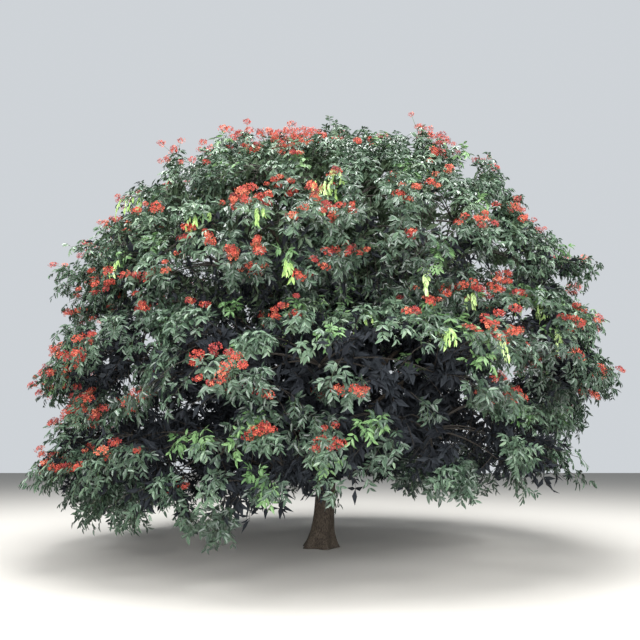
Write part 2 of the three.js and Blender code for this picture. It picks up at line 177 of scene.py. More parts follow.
class Mass:
    """One drooping shelf of foliage: its middle, axes, half sizes, bough and stem."""

    def __init__(self, tier_index, index):
        (self.tier, count, turn, reach, height, deep, wide, tall, droop,
         leaves_at, step, self.thick) = TIERS[tier_index]
        self.tier_index = tier_index
        self.sides = (self,)
        self.half = np.array([deep, wide, tall])
        self.round = droop == 0
        self.draw = seeded(1000 * (tier_index + 1) + index)
        angle = math.radians(turn + 360 / count * index + self.either(MASS_TURN))
        lifted = (1 + math.cos(angle - math.radians(LIFTED_SIDE))) / 2 if self.tier == "skirt" else 0
        away = reach - SKIRT_TUCK * lifted + self.either(MASS_SHIFT)
        stagger = MASS_STAGGER * (1 if index % 2 else -1) if count > 1 else 0
        level = height + SKIRT_LIFT * lifted + stagger + self.either(MASS_SHIFT)
        self.outward = np.array([math.cos(angle), math.sin(angle), 0])
        along = np.array([-math.sin(angle), math.cos(angle), 0])
        fall = math.radians(droop)
        out = self.outward * math.cos(fall) - UP * math.sin(fall)
        over = UP * math.cos(fall) + self.outward * math.sin(fall)
        self.axes = np.stack([out, along, over])
        self.middle = trunk_middle(level) + self.outward * away
        self.name = f"{self.tier}_{index + 1}" if count > 1 else self.tier
        if self.thick:
            foot = trunk_middle(leaves_at + step * ((index % 2) + BOUGH_SPIRAL * index / count))
            self.bough = self.bough_from(foot)
            self.tip = self.bough[3]
            self.entry = unit(self.bough[3] - self.bough[2])
            self.tip_radius = BOUGH_TIP
        else:
            self.tip = trunk_middle(TRUNK_TOP)
            self.entry = UP
            self.tip_radius = TRUNK_PROFILE[-1, 1]
        heart = self.at([STEM_OUT, 0, 0 if droop else -TOP_STEM_UNDER])
        bend = self.tip + self.entry * STEM_RUN * np.linalg.norm(heart - self.tip)
        self.stem = (self.tip, bend, heart)

    def either(self, most):
        """A draw to either side of nought."""
        return most * (2 * next(self.draw) - 1)

    def at(self, shares):
        """A point in the mass, from shares of its half sizes out, along and over."""
        return self.middle + (np.asarray(shares) * self.half) @ self.axes

    def bough_from(self, foot):
        """The four points of the bough's curve: it leaves outwards, climbs, and arches into the mass."""
        tip = self.at([-BOUGH_ENTERS, 0, -BOUGH_UNDER])
        span = np.linalg.norm(tip - foot)
        leaving = foot + self.outward * BOUGH_OUT * span + UP * BOUGH_CLIMB * (tip[2] - foot[2])
        heading = unit((tip - foot) / span * BOUGH_STRAIGHT + self.axes[0])
        return foot, leaving, tip - heading * BOUGH_ARCH * span, tip

    def twig(self, fan, climb, reach, foot):
        """A twig's curve to a point near the mass's surface, climbing first and then hanging over."""
        level = reach * math.cos(climb)
        tip = self.at([level * math.cos(fan), level * math.sin(fan), reach * math.sin(climb)])
        bend = foot + (tip - foot) * TWIG_BEND + UP * TWIG_LIFT * np.linalg.norm(tip - foot)
        return foot, bend, tip

    def twigs(self, more):
        """The solids' twigs, then more of them between, by the same fan and climbs."""
        foot = quadratic(*self.stem, STEM_FORK)
        curves = []
        for count, shift in ((TWIGS, 0), (more, 0.5)):
            for i in range(count):
                around = 360 / count * (i + shift) if self.round else TWIG_FAN * (2 * i / (count - 1) - 1)
                fan = math.radians(around + self.either(TWIG_STRAY))
                kind = i % 2
                climb = math.radians(TWIG_CLIMBS[kind] + TWIG_CLIMB_MORE[kind] * next(self.draw))
                reach = TWIG_REACH + TWIG_REACH_MORE * next(self.draw)
                curves.append(self.twig(fan, climb, reach, foot))
        return np.array(curves)


class Shoulder:
    """The foliage that closes the notch between a mass and its neighbour, and grows from their twigs."""

    def __init__(self, first, second):
        self.tier_index = first.tier_index
        self.round = False
        self.sides = (first, second)
        self.axes = np.array([unit(a + b) for a, b in zip(first.axes, second.axes)])
        self.half = (first.half + second.half) / 2 * SHOULDER_HALF
        middle = (first.middle + second.middle) / 2
        away = np.hypot(*(first.middle - trunk_middle(first.middle[2]))[:2])
        outward = unit((middle - trunk_middle(middle[2])) * (1, 1, 0))
        self.middle = trunk_middle(middle[2]) + outward * away * SHOULDER_REACH

    at = Mass.at


MASSES = [Mass(t, i) for t, tier in enumerate(TIERS) for i in range(tier[1])]
RINGS = [[m for m in MASSES if m.tier_index == t] for t, tier in enumerate(TIERS) if tier[1] > 1]
SHELVES = MASSES + [Shoulder(m, ring[(i + 1) % len(ring)]) for ring in RINGS for i, m in enumerate(ring)]
NAMES = {tier[0]: [f"foliage_{m.name}" for m in MASSES if m.tier == tier[0]] for tier in TIERS}


def sphere_points(count):
    """Directions spread evenly over a ball: equal steps of height, each turned by the golden angle."""
    height = 1 - 2 * (np.arange(count) + 0.5) / count
    turn = GOLDEN_ANGLE * np.arange(count)
    level = np.sqrt(1 - height**2)
    return np.stack([level * np.cos(turn), level * np.sin(turn), height], axis=-1)


# Camera, where the photo's stood: its place, its tilt up in degrees and its lens in millimetres
CAMERA_PLACE = (0.0, -11.5, 1.6)
CAMERA_TILT = 15
CAMERA_LENS = 30.2


def seen_place(points):
    """Where points show from the camera, as metres across and up on the upright plane of the trunk."""
    _, back, eye = CAMERA_PLACE
    share = -back / (points[..., 1] - back)
    return np.stack([points[..., 0] * share, eye + (points[..., 2] - eye) * share], axis=-1)


# Kinds of spray: hardened dark leaves, this year's green ones, and shoots whose last leaves hang limp and
# pale, with the number of those leaves
DARK, FRESH, FLUSH = 0, 1, 2
LIMP_LEAVES = 3

# Round spots of the crown's front as the camera sees it: across, up and radius, in metres on the upright
# plane of the trunk. Only tips nearer the camera than FACING_UNTIL, along the frame's Y, take them.
FACING_UNTIL = 1.5

# Where limp pale shoots and fresh green ones show, and the chance of one there
FLUSH_SPOTS = [
    (5.0, 4.7, 0.5), (4.4, 5.2, 0.3), (4.1, 3.5, 0.3), (3.2, 3.9, 0.35), (2.7, 4.3, 0.3), (3.2, 6.2, 0.35),
    (2.4, 6.9, 0.3), (2.0, 5.5, 0.35), (1.5, 6.4, 0.35), (1.1, 7.9, 0.35), (0.1, 8.3, 0.4), (0.6, 4.3, 0.3),
    (-0.5, 6.6, 0.5), (-0.6, 5.9, 0.45), (2.2, 6.0, 0.35), (-0.6, 4.4, 0.3), (-1.2, 7.4, 0.3),
    (-3.0, 3.3, 0.2), (-3.6, 3.0, 0.2), (-4.4, 6.1, 0.3),
]
FLUSH_CHANCE = 0.6
FRESH_SPOTS = [
    (-0.9, 1.3, 1.2), (-1.7, 2.4, 0.8), (-2.9, 2.2, 0.5), (-4.2, 1.5, 0.5), (0.5, 4.3, 0.4),
    (2.9, 6.1, 0.5), (4.8, 4.8, 0.6), (4.3, 2.6, 0.4), (1.7, 8.4, 0.5), (2.1, 2.5, 0.3),
]
FRESH_CHANCE = 0.2

# Young shoots anywhere: the chance of each kind, and how high on a shelf they begin
FRESH_SCATTERED = 0.05
FRESH_ABOVE = 0
FLUSH_SCATTERED = 0.025
FLUSH_ABOVE = 0.1

# Where blossom stands thick, and where thickest
RICH_SPOTS = [
    (-2.0, 6.2, 1.2), (-0.7, 8.1, 1.3), (-5.2, 2.5, 1.2), (-3.6, 5.5, 0.6), (-2.2, 3.3, 0.7), (0.5, 7.0, 0.5),
    (3.6, 4.2, 0.6), (5.1, 3.2, 0.7), (3.9, 5.2, 0.7), (3.5, 3.1, 0.8), (0.5, 2.0, 0.5), (2.8, 1.7, 0.5),
]
RICHEST_SPOTS = [
    (-2.4, 6.1, 0.4), (-2.0, 5.8, 0.75), (-1.0, 7.2, 0.8), (-0.3, 8.1, 0.7), (-2.4, 5.6, 0.5),
    (-5.2, 5.4, 0.4), (-5.4, 3.0, 0.5), (-2.3, 3.4, 0.5), (2.2, 7.4, 0.35), (3.8, 5.3, 0.4),
    (0.3, 2.0, 0.3),
]

# The chance that a tuft flowers, as a share of the setting, and how near its tuft's middle a spray has to
# stand to bear a head: in the thickest spots and the thick ones, on the rest of the front, and elsewhere
FLOWERING = (2.4, 1.1, 0.45, 0.5)
FLOWERING_BROW = (-0.7, -0.2, 0.25, 0.25)

# Blossom thins towards the crown's foot, between two heights that rise to the right of one place across
BLOOM_THINS = (0.8, 1.8)
BLOOM_AT_FOOT = 0.02
BLOOM_RISE = 0.3
BLOOM_RISES_FROM = -2
BLOOM_RISES_FOR = 5

# No head stands further past the solids' box than this
HEADS_PAST_SOLIDS = 0.14

# Where the front of the crown opens into dark hollows, and the share of the shell that sprays sink there
# Sprays there are out of the light unless in a lit spot: sunk into real shade, with only inner leaves in
# painted shade
HOLLOW_SPOTS = [
    (-1.6, 4.8, 0.4), (-0.9, 5.0, 0.4), (-2.5, 4.3, 0.35), (-4.9, 4.7, 0.25), (0.6, 5.0, 0.25),
    (-4.4, 4.0, 0.3), (-4.3, 3.1, 0.35), (0.6, 3.4, 0.3), (1.3, 3.35, 0.45), (2.15, 3.35, 0.45),
    (2.8, 3.5, 0.35), (-0.8, 2.8, 0.45), (1.1, 1.9, 0.35), (1.9, 2.0, 0.45), (2.8, 2.2, 0.5),
    (3.7, 2.2, 0.4), (-1.4, 1.7, 0.3), (4.5, 3.1, 0.3), (3.6, 1.6, 0.35), (-2.5, 1.2, 0.25),
    (-2.2, 2.0, 0.2), (-3.5, 0.7, 0.2), (1.0, 2.7, 0.35), (2.0, 2.7, 0.4), (3.0, 2.9, 0.3),
]
HOLLOW_SINKS = 0.28

# Where every spray is in the light: along the shelf across the middle of the front and at the lower rim
LIT_SPOTS = [
    (-2.2, 4.0, 0.3), (-1.6, 4.1, 0.35), (-0.9, 4.4, 0.4), (-0.2, 4.5, 0.45), (0.5, 4.5, 0.45),
    (1.1, 4.5, 0.45), (1.8, 4.7, 0.45), (2.5, 4.8, 0.4), (0.3, 2.7, 0.4), (1.2, 1.2, 0.4),
    (2.0, 1.2, 0.35), (2.8, 1.35, 0.4),
]

# The sprays' shell round a shelf, as shares of its half sizes out, along and over, with a share for each
# tier and one set for the round shelf at the top
SHELL_REACH = np.array([1.08, 1.17, 0.93])
TIER_REACH = [1.0, 0.96, 0.98, 1.05, 0.98, 0.95]
TOP_REACH = np.array([1.0, 1.0, 0.6])

# How square the shell's edges are and how square it is in plan, so that neighbours meet
BOXINESS = 2.6
SQUARE_PLAN = 5.0

# How much further the shell reaches down than up, tier by tier
HANGS_BELOW = [1.0, 1.3, 1.5, 1.9, 1.6, 1.0]

# How far sprays and tufts stray on the shell, and how far sprays stray in and out
SPRAY_STRAY = 0.08
TUFT_STRAY = 0.14
DEPTH_STRAY = 0.04

# The sprays of the upper crown lean to the left by this, in full from the second height up
UPPER_LEAN = 0.25
UPPER_LEAN_FROM = 4.0
UPPER_LEAN_TO = 6.5

# Ledges of sprays on a shelf: the rise from one to the next, their fall outwards, how far they stand out,
# as a share of the shell, and how they sway: by how much, how often round the crown, and their drift
LEDGE_STEP = 0.8
LEDGE_FALL = 0.35
LEDGE_DEPTH = 0.13
LEDGE_SWAY = 1.6
LEDGE_SWAYS_ROUND = 3
LEDGE_DRIFT = 0.8

# Sprays are left out that lie deeper in another shelf than this share of its shell
BURIED = 0.94

# Sprays crowd into tufts: how many tufts there are on a shelf, how far a spray is drawn to the middle
# of its tuft, and how far that stands out
TUFTS = 76
TUFT_PULL = 0.42
TUFT_RISE = 0.07

# No spray stands nearer the trunk than this share of its shelf's depth
INMOST_SPRAY = -0.85

# How high on a shelf a spray has to stand to be in the light, tier by tier, and how much lower that is
# at the shelf's outer end
LIT_DOWN_TO = [-0.55, -0.5, -0.5, -0.85, -0.85, -0.7]
LIT_LOWER_OUT = 0.5

# Sprays between two ledges are in the dark, by a chance that fades between two heights
BETWEEN_LEDGES = -0.35
HOLLOWS = (0.8, 0.0)
HOLLOWS_FADE = (3.2, 5.0)

# The share of the dark sprays that is left out
DARK_LEFT_OUT = 0.4

# The places along a twig, as shares of its length, that branchlets grow from, and a branchlet's curve
BRANCHLET_PLACES = np.linspace(0.2, 1, 9)
BRANCHLET_BEND = 0.6
BRANCHLET_LIFT = 0.16

# The crown's lower rim is at the first height left of the first place along the frame's X, and at the
# second height right of the second. Bare twigs end no more than a little below it, and shoots inside the
# crown stay well above it.
RIM = (0.68, 1.2)
RIM_RISES = (-1.5, 0.3)
TWIGS_BELOW_RIM = 0.2
SHOOTS_ABOVE_RIM = 0.35

# No leaf hangs from lower than this
LOWEST_LEAF = 0.42

# The heights between which the leaves inside the crown pass from painted shade to lighter colours,
# painted light from above
PAINTED_LIGHT_HEIGHTS = (4.0, 6.0)

# Leafy shoots inside the crown: how many on a bough and on the trunk, between which heights there, the
# leaves on one, how much longer these are than other inner leaves, from which share of the shoot on they
# stand, and how little of their outward side is up or down
SHOOTS_ON_BOUGH = 26
SHOOTS_ON_TRUNK = 90
TRUNK_SHOOTS_FROM = 1.7
TRUNK_SHOOTS_TO = 7.0
SHOOT_LEAVES = 54
SHOOT_LEAF_LONGER = 1.25
SHOOT_LEAVES_FROM = 0.1
SHOOT_LEAVES_LEVEL = 0.2


def ledges(points):
    """
    The small ledges of a shelf, from -1 in the hollows to 1 on the brinks: a sine of the height with
    the fall outwards added to it, which sways round the crown.
    """
    around = np.arctan2(points[:, 1], points[:, 0])
    level = points[:, 2] + LEDGE_FALL * np.hypot(points[:, 0], points[:, 1])
    sway = LEDGE_SWAY * np.sin(LEDGE_SWAYS_ROUND * around + LEDGE_DRIFT * level)
    return np.sin(2 * math.pi * level / LEDGE_STEP + sway)


def boxy(shell, round_plan):
    """
    How far a squared ball reaches along unit directions: 1 / (m ** b + |z| ** b) ** (1 / b), with b the
    boxiness and m = (|x| ** p + |y| ** p) ** (1 / p), where p is 2 for a round plan.
    """
    p = 2 if round_plan else SQUARE_PLAN
    level = (np.abs(shell[:, :2]) ** p).sum(axis=1) ** (1 / p)
    return ((level**BOXINESS + np.abs(shell[:, 2]) ** BOXINESS) ** (-1 / BOXINESS))[:, None]


def stretch(shelf, shell):
    """The shares of a shelf's half sizes that its shell of sprays takes, with more below than above."""
    reach = TOP_REACH if shelf.round else SHELL_REACH * TIER_REACH[shelf.tier_index]
    return reach * np.where(shell[:, 2:] < 0, (1, 1, HANGS_BELOW[shelf.tier_index]), 1)


def depth_in(shelf, points):
    """How far out points lie in a shelf: 0 at its middle, 1 on its shell."""
    local = (points - shelf.middle) @ shelf.axes.T / shelf.half
    local /= stretch(shelf, local)
    return np.linalg.norm(local, axis=1) / boxy(unit(local), shelf.round)[:, 0]


def above_rim(points, by=0.0):
    """Whether points lie above the crown's lower rim by so much."""
    return points[:, 2] > np.interp(points[:, 0], RIM_RISES, RIM) + by


def in_spots(points, spots):
    """Whether points on the side of the camera show within any of some spots."""
    seen = seen_place(points)
    inside = np.zeros(len(points), bool)
    for across, up, radius in spots:
        inside |= np.hypot(seen[:, 0] - across, seen[:, 1] - up) < radius
    return inside & (points[:, 1] < FACING_UNTIL)


class Sprays:
    """
    Every leafy spray of the crown as arrays: its branchlet's curve, its outward side, how high it stands
    on its shelf, its tier, whether it is in the light, how far out it stands on its ledge and how near
    its tuft's middle, its tuft and its kind.
    """

    def __init__(self, per_mass, per_shoulder, more_twigs):
        rng = np.random.default_rng(SEEDS["sprays"])
        self.twigs = {}
        for mass in MASSES:
            twigs = mass.twigs(more_twigs)
            self.twigs[mass] = twigs[above_rim(twigs[:, 2], -TWIGS_BELOW_RIM)]
        parts = []
        for number, shelf in enumerate(SHELVES):
            tips, *rest = self.shell(rng, shelf, per_mass if number < len(MASSES) else per_shoulder, number)
            outside = [depth_in(other, tips) > BURIED for other in SHELVES if other is not shelf]
            parts.append(self.rooted(shelf, np.all(outside, axis=0), tips, *rest))
        joined = map(np.concatenate, zip(*parts))
        (self.root, self.tip, self.side, self.high, self.tier, self.lit, self.ledge, self.brow,
         self.tuft) = joined
        span = np.linalg.norm(self.tip - self.root, axis=-1, keepdims=True)
        self.bend = self.root + (self.tip - self.root) * BRANCHLET_BEND + UP * BRANCHLET_LIFT * span
        self.count = len(self.root)
        self.kind = np.full(self.count, DARK)
        for spots, kind, chance in ((FRESH_SPOTS, FRESH, FRESH_CHANCE), (FLUSH_SPOTS, FLUSH, FLUSH_CHANCE)):
            self.kind[in_spots(self.tip, spots) & (rng.random(self.count) < chance)] = kind
        scattered = rng.random(self.count)
        self.kind[(scattered < FRESH_SCATTERED) & (self.high > FRESH_ABOVE)] = FRESH
        self.kind[(scattered > 1 - FLUSH_SCATTERED) & (self.high > FLUSH_ABOVE)] = FLUSH

    def shell(self, rng, shelf, count, number):
        """Sprays' tips over a shelf, crowded into tufts and ledges, with what is known of each."""
        shell = unit(sphere_points(count) + rng.normal(0, SPRAY_STRAY, (count, 3)))
        tufts = unit(sphere_points(TUFTS) + rng.normal(0, TUFT_STRAY, (TUFTS, 3)))
        shell = shell[shell[:, 0] > INMOST_SPRAY]
        tuft = np.argmax(shell @ tufts.T, axis=1)
        nearest = tufts[tuft]
        brow = 1 - np.linalg.norm(nearest - shell, axis=1) * math.sqrt(TUFTS) / 2
        shell = unit(shell + TUFT_PULL * (nearest - shell))
        reach = boxy(shell, shelf.round) * stretch(shelf, shell)
        ledge = ledges(shelf.at(shell * reach))
        radius = 1 + LEDGE_DEPTH * ledge + TUFT_RISE * brow + rng.normal(0, DEPTH_STRAY, len(shell))
        sunk = in_spots(shelf.at(shell * reach * radius[:, None]), HOLLOW_SPOTS)
        tips = shelf.at(shell * reach * (radius - HOLLOW_SINKS * sunk)[:, None])
        tips[:, 0] -= UPPER_LEAN * np.interp(tips[:, 2], [UPPER_LEAN_FROM, UPPER_LEAN_TO], [0, 1])
        side = unit((shell / shelf.half) @ shelf.axes)
        # A spray out of the light bears no leaflets, only inner leaves in painted shade
        lit = shell[:, 2] > LIT_DOWN_TO[shelf.tier_index] - LIT_LOWER_OUT * shell[:, 0]
        hollow = (ledge < BETWEEN_LEDGES) * np.interp(tips[:, 2], HOLLOWS_FADE, HOLLOWS)
        lit &= (rng.random(len(shell)) > hollow) & ~sunk
        lit |= in_spots(tips, LIT_SPOTS)
        return tips, side, shell[:, 2], lit, ledge, brow, tuft + number * TUFTS, rng.random(len(shell))

    def rooted(self, shelf, own, tips, side, high, lit, ledge, brow, tuft, chance):
        """The sprays that are kept, each rooted on the nearest twig of the masses its shelf grows from."""
        own &= above_rim(tips)
        own &= lit | (chance > DARK_LEFT_OUT)
        curves = np.concatenate([self.twigs[m] for m in shelf.sides])
        on_twigs = quadratic(
            curves[:, None, 0], curves[:, None, 1], curves[:, None, 2], BRANCHLET_PLACES[None, :]
        ).reshape(-1, 3)
        gap = np.linalg.norm(tips[own, None] - on_twigs[None], axis=-1)
        root = on_twigs[np.argmin(gap, axis=1)]
        tier = np.full(len(root), shelf.tier_index)
        return (root, tips[own], side[own], high[own], tier, lit[own], ledge[own], brow[own], tuft[own])


# A leaflet's corners as share of its length, share of its half width and lift, root first. Its two
# halves fold up from the rib, which runs from the first corner to the fourth, and its far end hangs.
LEAFLET = np.array([
    (0, 0, 0), (0.28, -1, 0.04), (0.66, -0.86, -0.02), (1, 0, -0.16), (0.66, 0.86, -0.02), (0.28, 1, 0.04),
])
LEAFLET_FACES = np.array([(0, 1, 2), (0, 2, 3), (0, 3, 4), (0, 4, 5)])

# A leaflet's half width and an inner leaf's, as shares of the length
LEAFLET_HALF_WIDTH = 0.168
INNER_HALF_WIDTH = 0.17

# A plain leaf for the inside of the crown: two halves folded along the rib
INNER_LEAF = np.array([(0, 0, 0), (0.45, -1, 0.05), (1, 0, -0.12), (0.45, 1, 0.05)])
INNER_FACES = np.array([(0, 1, 2), (0, 2, 3)])

# A petal: narrow where it leaves the flower's throat, broad and turned up at its outer edge
PETAL = np.array([(0, 0, 0), (0.9, -1, 0.15), (1, 1, 0.15)])
PETAL_FACES = np.array([(0, 1, 2)])

# A stamen: a thin blade with its broad end at the flower
STAMEN = np.array([(0, -1, 0), (1, 0, 0.2), (0, 1, 0)])
STAMEN_FACES = np.array([(0, 1, 2)])

# Petals' and stamens' lengths and half widths, as shares of the head's radius
PETAL_LENGTH = 0.42
PETAL_HALF_WIDTH = 0.17
STAMEN_LENGTH = 0.48
STAMEN_HALF_WIDTH = 0.018


def blades(shape, faces, root, heading, face, length, half_width):
    """
    Many copies of one blade. A corner lies at root + heading * (share * length) + across * (side *
    half width) + face * (lift * length), where across is face x heading.
    """
    heading = unit(heading)
    face = unit(face - heading * (face * heading).sum(axis=-1, keepdims=True))
    across = np.cross(face, heading)
    length = length[:, None, None]
    corners = (
        root[:, None]
        + heading[:, None] * (shape[None, :, 0:1] * length)
        + across[:, None] * (shape[None, :, 1:2] * half_width[:, None, None])
        + face[:, None] * (shape[None, :, 2:3] * length)
    )
    first = np.arange(len(root))[:, None, None] * len(shape)
    return corners.reshape(-1, 3), (faces[None] + first).reshape(-1, 3)


def tubes(points, radii, across, sides):
    """
    Many tapering tubes. points is tubes x steps x 3 and across a side vector for each tube that stands
    square to its path. Ring corners lie at point + radius * (cos a * across + sin a * (path x across)).
    """
    count, steps = points.shape[:2]
    path = unit(np.gradient(points, axis=1))
    u = unit(across[:, None] - path * (across[:, None] * path).sum(axis=-1, keepdims=True))
    v = np.cross(path, u)
    a = 2 * math.pi * np.arange(sides) / sides
    ring = u[:, :, None] * np.cos(a)[:, None] + v[:, :, None] * np.sin(a)[:, None]
    corners = points[:, :, None] + ring * radii[:, :, None, None]
    return corners.reshape(-1, 3), tube_faces(count, steps, sides)


def tube_faces(count, steps, sides):
    """Side triangles and end caps of count tubes whose corners run tube by tube, ring by ring."""
    i = np.arange(sides)
    j = (i + 1) % sides
    low = np.arange(steps - 1)[:, None] * sides
    a, b, c, d = low + i, low + j, low + sides + j, low + sides + i
    wall = np.stack([a, b, c, a, c, d], axis=-1).reshape(-1, 3)
    k = np.arange(1, sides - 1)
    foot = np.stack([np.zeros_like(k), k + 1, k], axis=-1)
    tip = np.stack([np.zeros_like(k), k, k + 1], axis=-1) + (steps - 1) * sides
    one = np.concatenate([wall, foot, tip])
    return (one[None] + np.arange(count)[:, None, None] * steps * sides).reshape(-1, 3)


def strips(points, half_widths, across):
    """Many flat strips: the two corners at a point lie half a width to either side of it."""
    aside = across[:, None] * half_widths[..., None]
    corners = np.stack([points - aside, points + aside], axis=2)
    count, steps = points.shape[:2]
    low = 2 * np.arange(steps - 1)[:, None]
    one = np.concatenate([low + (0, 1, 3), low + (0, 3, 2)])
    return corners.reshape(-1, 3), (one[None] + np.arange(count)[:, None, None] * 2 * steps).reshape(-1, 3)


def square_to(heading, hint):
    """Unit vectors square to headings, on the side of a hint."""
    other = np.cross(heading, hint)
    flat = np.linalg.norm(other, axis=-1, keepdims=True) < 1e-4
    return unit(np.where(flat, np.cross(heading, [0.9, 0.1, 0.3]), other))


def link_object(name, data, place=(0, 0, 0), turn=(0, 0, 0)):
    """An object in the scene at a place, turned by angles about X, Y and Z."""
    thing = bpy.data.objects.new(name, data)
    thing.location = place
    thing.rotation_euler = turn
    bpy.context.scene.collection.objects.link(thing)
    return thing


def make_piece(name, parts, materials, smooth=True):
    """One mesh object from (corners, triangles, material number or numbers) parts."""
    corners, faces, paints = [], [], []
    first = 0
    for points, triangles, paint in parts:
        corners.append(points)
        faces.append(triangles + first)
        paints.append(np.broadcast_to(paint, len(triangles)))
        first += len(points)
    corners, faces, paints = map(np.concatenate, (corners, faces, paints))
    mesh = bpy.data.meshes.new(name)
    mesh.vertices.add(len(corners))
    mesh.vertices.foreach_set("co", corners.astype(np.float32).ravel())
    mesh.loops.add(faces.size)
    mesh.loops.foreach_set("vertex_index", faces.astype(np.int32).ravel())
    mesh.polygons.add(len(faces))
    mesh.polygons.foreach_set("loop_start", np.arange(0, faces.size, 3, dtype=np.int32))
    mesh.polygons.foreach_set("loop_total", np.full(len(faces), 3, dtype=np.int32))
    mesh.polygons.foreach_set("material_index", paints.astype(np.int32))
    mesh.polygons.foreach_set("use_smooth", np.full(len(faces), smooth))
    for material in materials:
        mesh.materials.append(material)
    mesh.update(calc_edges=True)
    piece = link_object(name, mesh)
    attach(piece, "root")
    return piece


def add_node(tree, kind, settings=None, **inputs):
    """A node of a kind, with settings as attributes and inputs as values or links."""
    node = tree.nodes.new(kind)
    for key, value in (settings or {}).items():
        setattr(node, key, value)
    for key, value in inputs.items():
        socket = node.inputs[key.replace("_", " ")]
        if isinstance(value, bpy.types.NodeSocket):
            tree.links.new(value, socket)
        else:
            socket.default_value = value
    return node


def plain_material(name, colour, **sockets):
    """A material whose colour and finish are the same all over, set on the shader's own sockets."""
    material = bpy.data.materials.new(name)
    material.use_nodes = True
    shader = material.node_tree.nodes["Principled BSDF"]
    shader.inputs["Base Color"].default_value = (*colour, 1)
    for key, value in sockets.items():
        shader.inputs[key.replace("_", " ")].default_value = value
    return material


def leaf_materials(name, codes, **sockets):
    """Leaves or petals in each of their colours: waxy skin over soft tissue, so a sheen over deep colour."""
    return [plain_material(f"{name} {i + 1}", linear(code), **sockets) for i, code in enumerate(codes)]


# Leathery evergreen leaflets, blue-green under a waxy bloom, in steps from painted shade to painted light
HARD_LEAF_SHADE_TO_LIGHT_CODES = [0x233027, 0x2B3B2F, 0x374A3B, 0x465B49, 0x576E58, 0x71866E]
# Leaves inside the crown, in painted shade: nearly black low down, and greener higher up, as painted
# light where light comes in from above
PAINTED_SHADE_LEAF_CODES = [0x1C1F24, 0x22262B, 0x2A2E33]
UPPER_PAINTED_LIGHT_CODES = [0x35442F, 0x435440, 0x53664E]
# This year's leaflets, thinner and brighter before they harden
FRESH_LEAF_CODES = [0x48693D, 0x577949, 0x6C8D5C]
# Limp new leaflets in tassels, nearly without green at first
FLUSH_LEAF_CODES = [0x86A65C, 0x99B76D, 0xB0C68A]
# Petals, thin and waxy, so with a soft sheen over a strong colour that turns from orange to scarlet and
# then crimson
BLOSSOM_CODES = [0xAC4A3A, 0x9E3E34, 0x8A3434, 0xBE6850, 0x762A2E]
STAMEN_CODE = 0x9C1F24
# Young wood and stalks
TWIG_CODE = 0x2C2721
STALK_CODE = 0x3C5230


def bark_material(light, dark, grain):
    """
    Ashoka bark: dead cork in a thin grey-brown skin, grown and split by itself. Its upright cracks are
    dark, its plates pale and dusty, and it is rough all over.
    """
    material = bpy.data.materials.new("Grey-brown bark")
    material.use_nodes = True
    tree = material.node_tree
    shader = tree.nodes["Principled BSDF"]
    shader.inputs["Specular IOR Level"].default_value = 0.25
    place = add_node(tree, "ShaderNodeTexCoord").outputs["Object"]
    stretched = add_node(tree, "ShaderNodeMapping", Vector=place, Scale=(1, 1, 0.22)).outputs["Vector"]
    # Plates about 12 mm wide and several times as tall, blotches about 150 mm across
    noise = "ShaderNodeTexNoise"
    cracks = add_node(tree, noise, Vector=stretched, Scale=1 / grain, Detail=5.0, Roughness=0.6)
    blotches = add_node(tree, noise, Vector=place, Scale=1 / (12 * grain), Detail=3.0)
    ramp = add_node(tree, "ShaderNodeValToRGB", Fac=cracks.outputs["Fac"])
    ramp.color_ramp.elements[0].position = 0.34
    ramp.color_ramp.elements[0].color = (*dark, 1)
    ramp.color_ramp.elements[1].position = 0.62
    ramp.color_ramp.elements[1].color = (*light, 1)
    multiply = {"blend_type": "MULTIPLY"}
    tint = add_node(tree, "ShaderNodeMixRGB", multiply, Fac=0.5, Color1=ramp.outputs["Color"])
    pale = add_node(tree, "ShaderNodeValToRGB", Fac=blotches.outputs["Fac"])
    pale.color_ramp.elements[0].position = 0.4
    pale.color_ramp.elements[0].color = (0.45, 0.45, 0.45, 1)
    pale.color_ramp.elements[1].position = 0.65
    tree.links.new(pale.outputs["Color"], tint.inputs["Color2"])
    tree.links.new(tint.outputs["Color"], shader.inputs["Base Color"])
    rough = add_node(tree, "ShaderNodeMapRange", Value=cracks.outputs["Fac"], To_Min=0.95, To_Max=0.8)
    tree.links.new(rough.outputs["Result"], shader.inputs["Roughness"])
    bump = add_node(tree, "ShaderNodeBump", Height=cracks.outputs["Fac"], Strength=0.6, Distance=0.006)
    tree.links.new(bump.outputs["Normal"], shader.inputs["Normal"])
    return material


def wood_relief(around, up, depth):
    """
    How far bark stands out: upright ridges whose number of waves round and slow drift up are mixed,
    with shallow lumps, in shares of depth.
    """
    ridges = np.sin(11 * around + 2.2 * np.sin(2.3 * up)) * np.sin(7 * around - 1.7 * up + 1.1)
    lumps = np.sin(3 * around + 2.9 * up) * np.cos(5.3 * up - around)
    cracks = -np.abs(np.sin(17 * around + 3 * np.sin(1.9 * up + 2 * np.sin(around)))) ** 6
    return depth * (0.9 * ridges + 0.8 * lumps + 1.1 * cracks)


# Rings up the trunk crowd towards the foot by this power. Bark's relief is in full where the trunk and a
# bough are this thick, in metres of radius, and on the trunk never less than the last share of it.
RINGS_CROWD = 1.25
TRUNK_FULL_RELIEF = 0.15
BOUGH_FULL_RELIEF = 0.1
LEAST_RELIEF = 0.15

# Rings and sides of the trunk, a bough, a stem and a twig, and of all thinner wood
TRUNK_GRID = (150, 64)
BOUGH_GRID = (30, 12)
STEM_GRID = (7, 8)
TWIG_GRID = (7, 5)
THIN_GRID = (3, 3)

# A bough's knots: how far they stand out, as a share of its radius, and how close they follow, with the
# collar where it leaves the trunk: how much wider that is and how soon it fades, in metres
KNOT_DEPTH = 0.05
KNOTS_FOLLOW = 9
COLLAR = 0.55
COLLAR_FADES = 0.24

# How close the bark's waves follow along a bough, beside those up the trunk, and how far a bough's own
# thickness shifts its knots and its bark, so that no two are alike
BARK_ALONG = 2.5
KNOTS_SHIFT = 900
BARK_SHIFT = 90


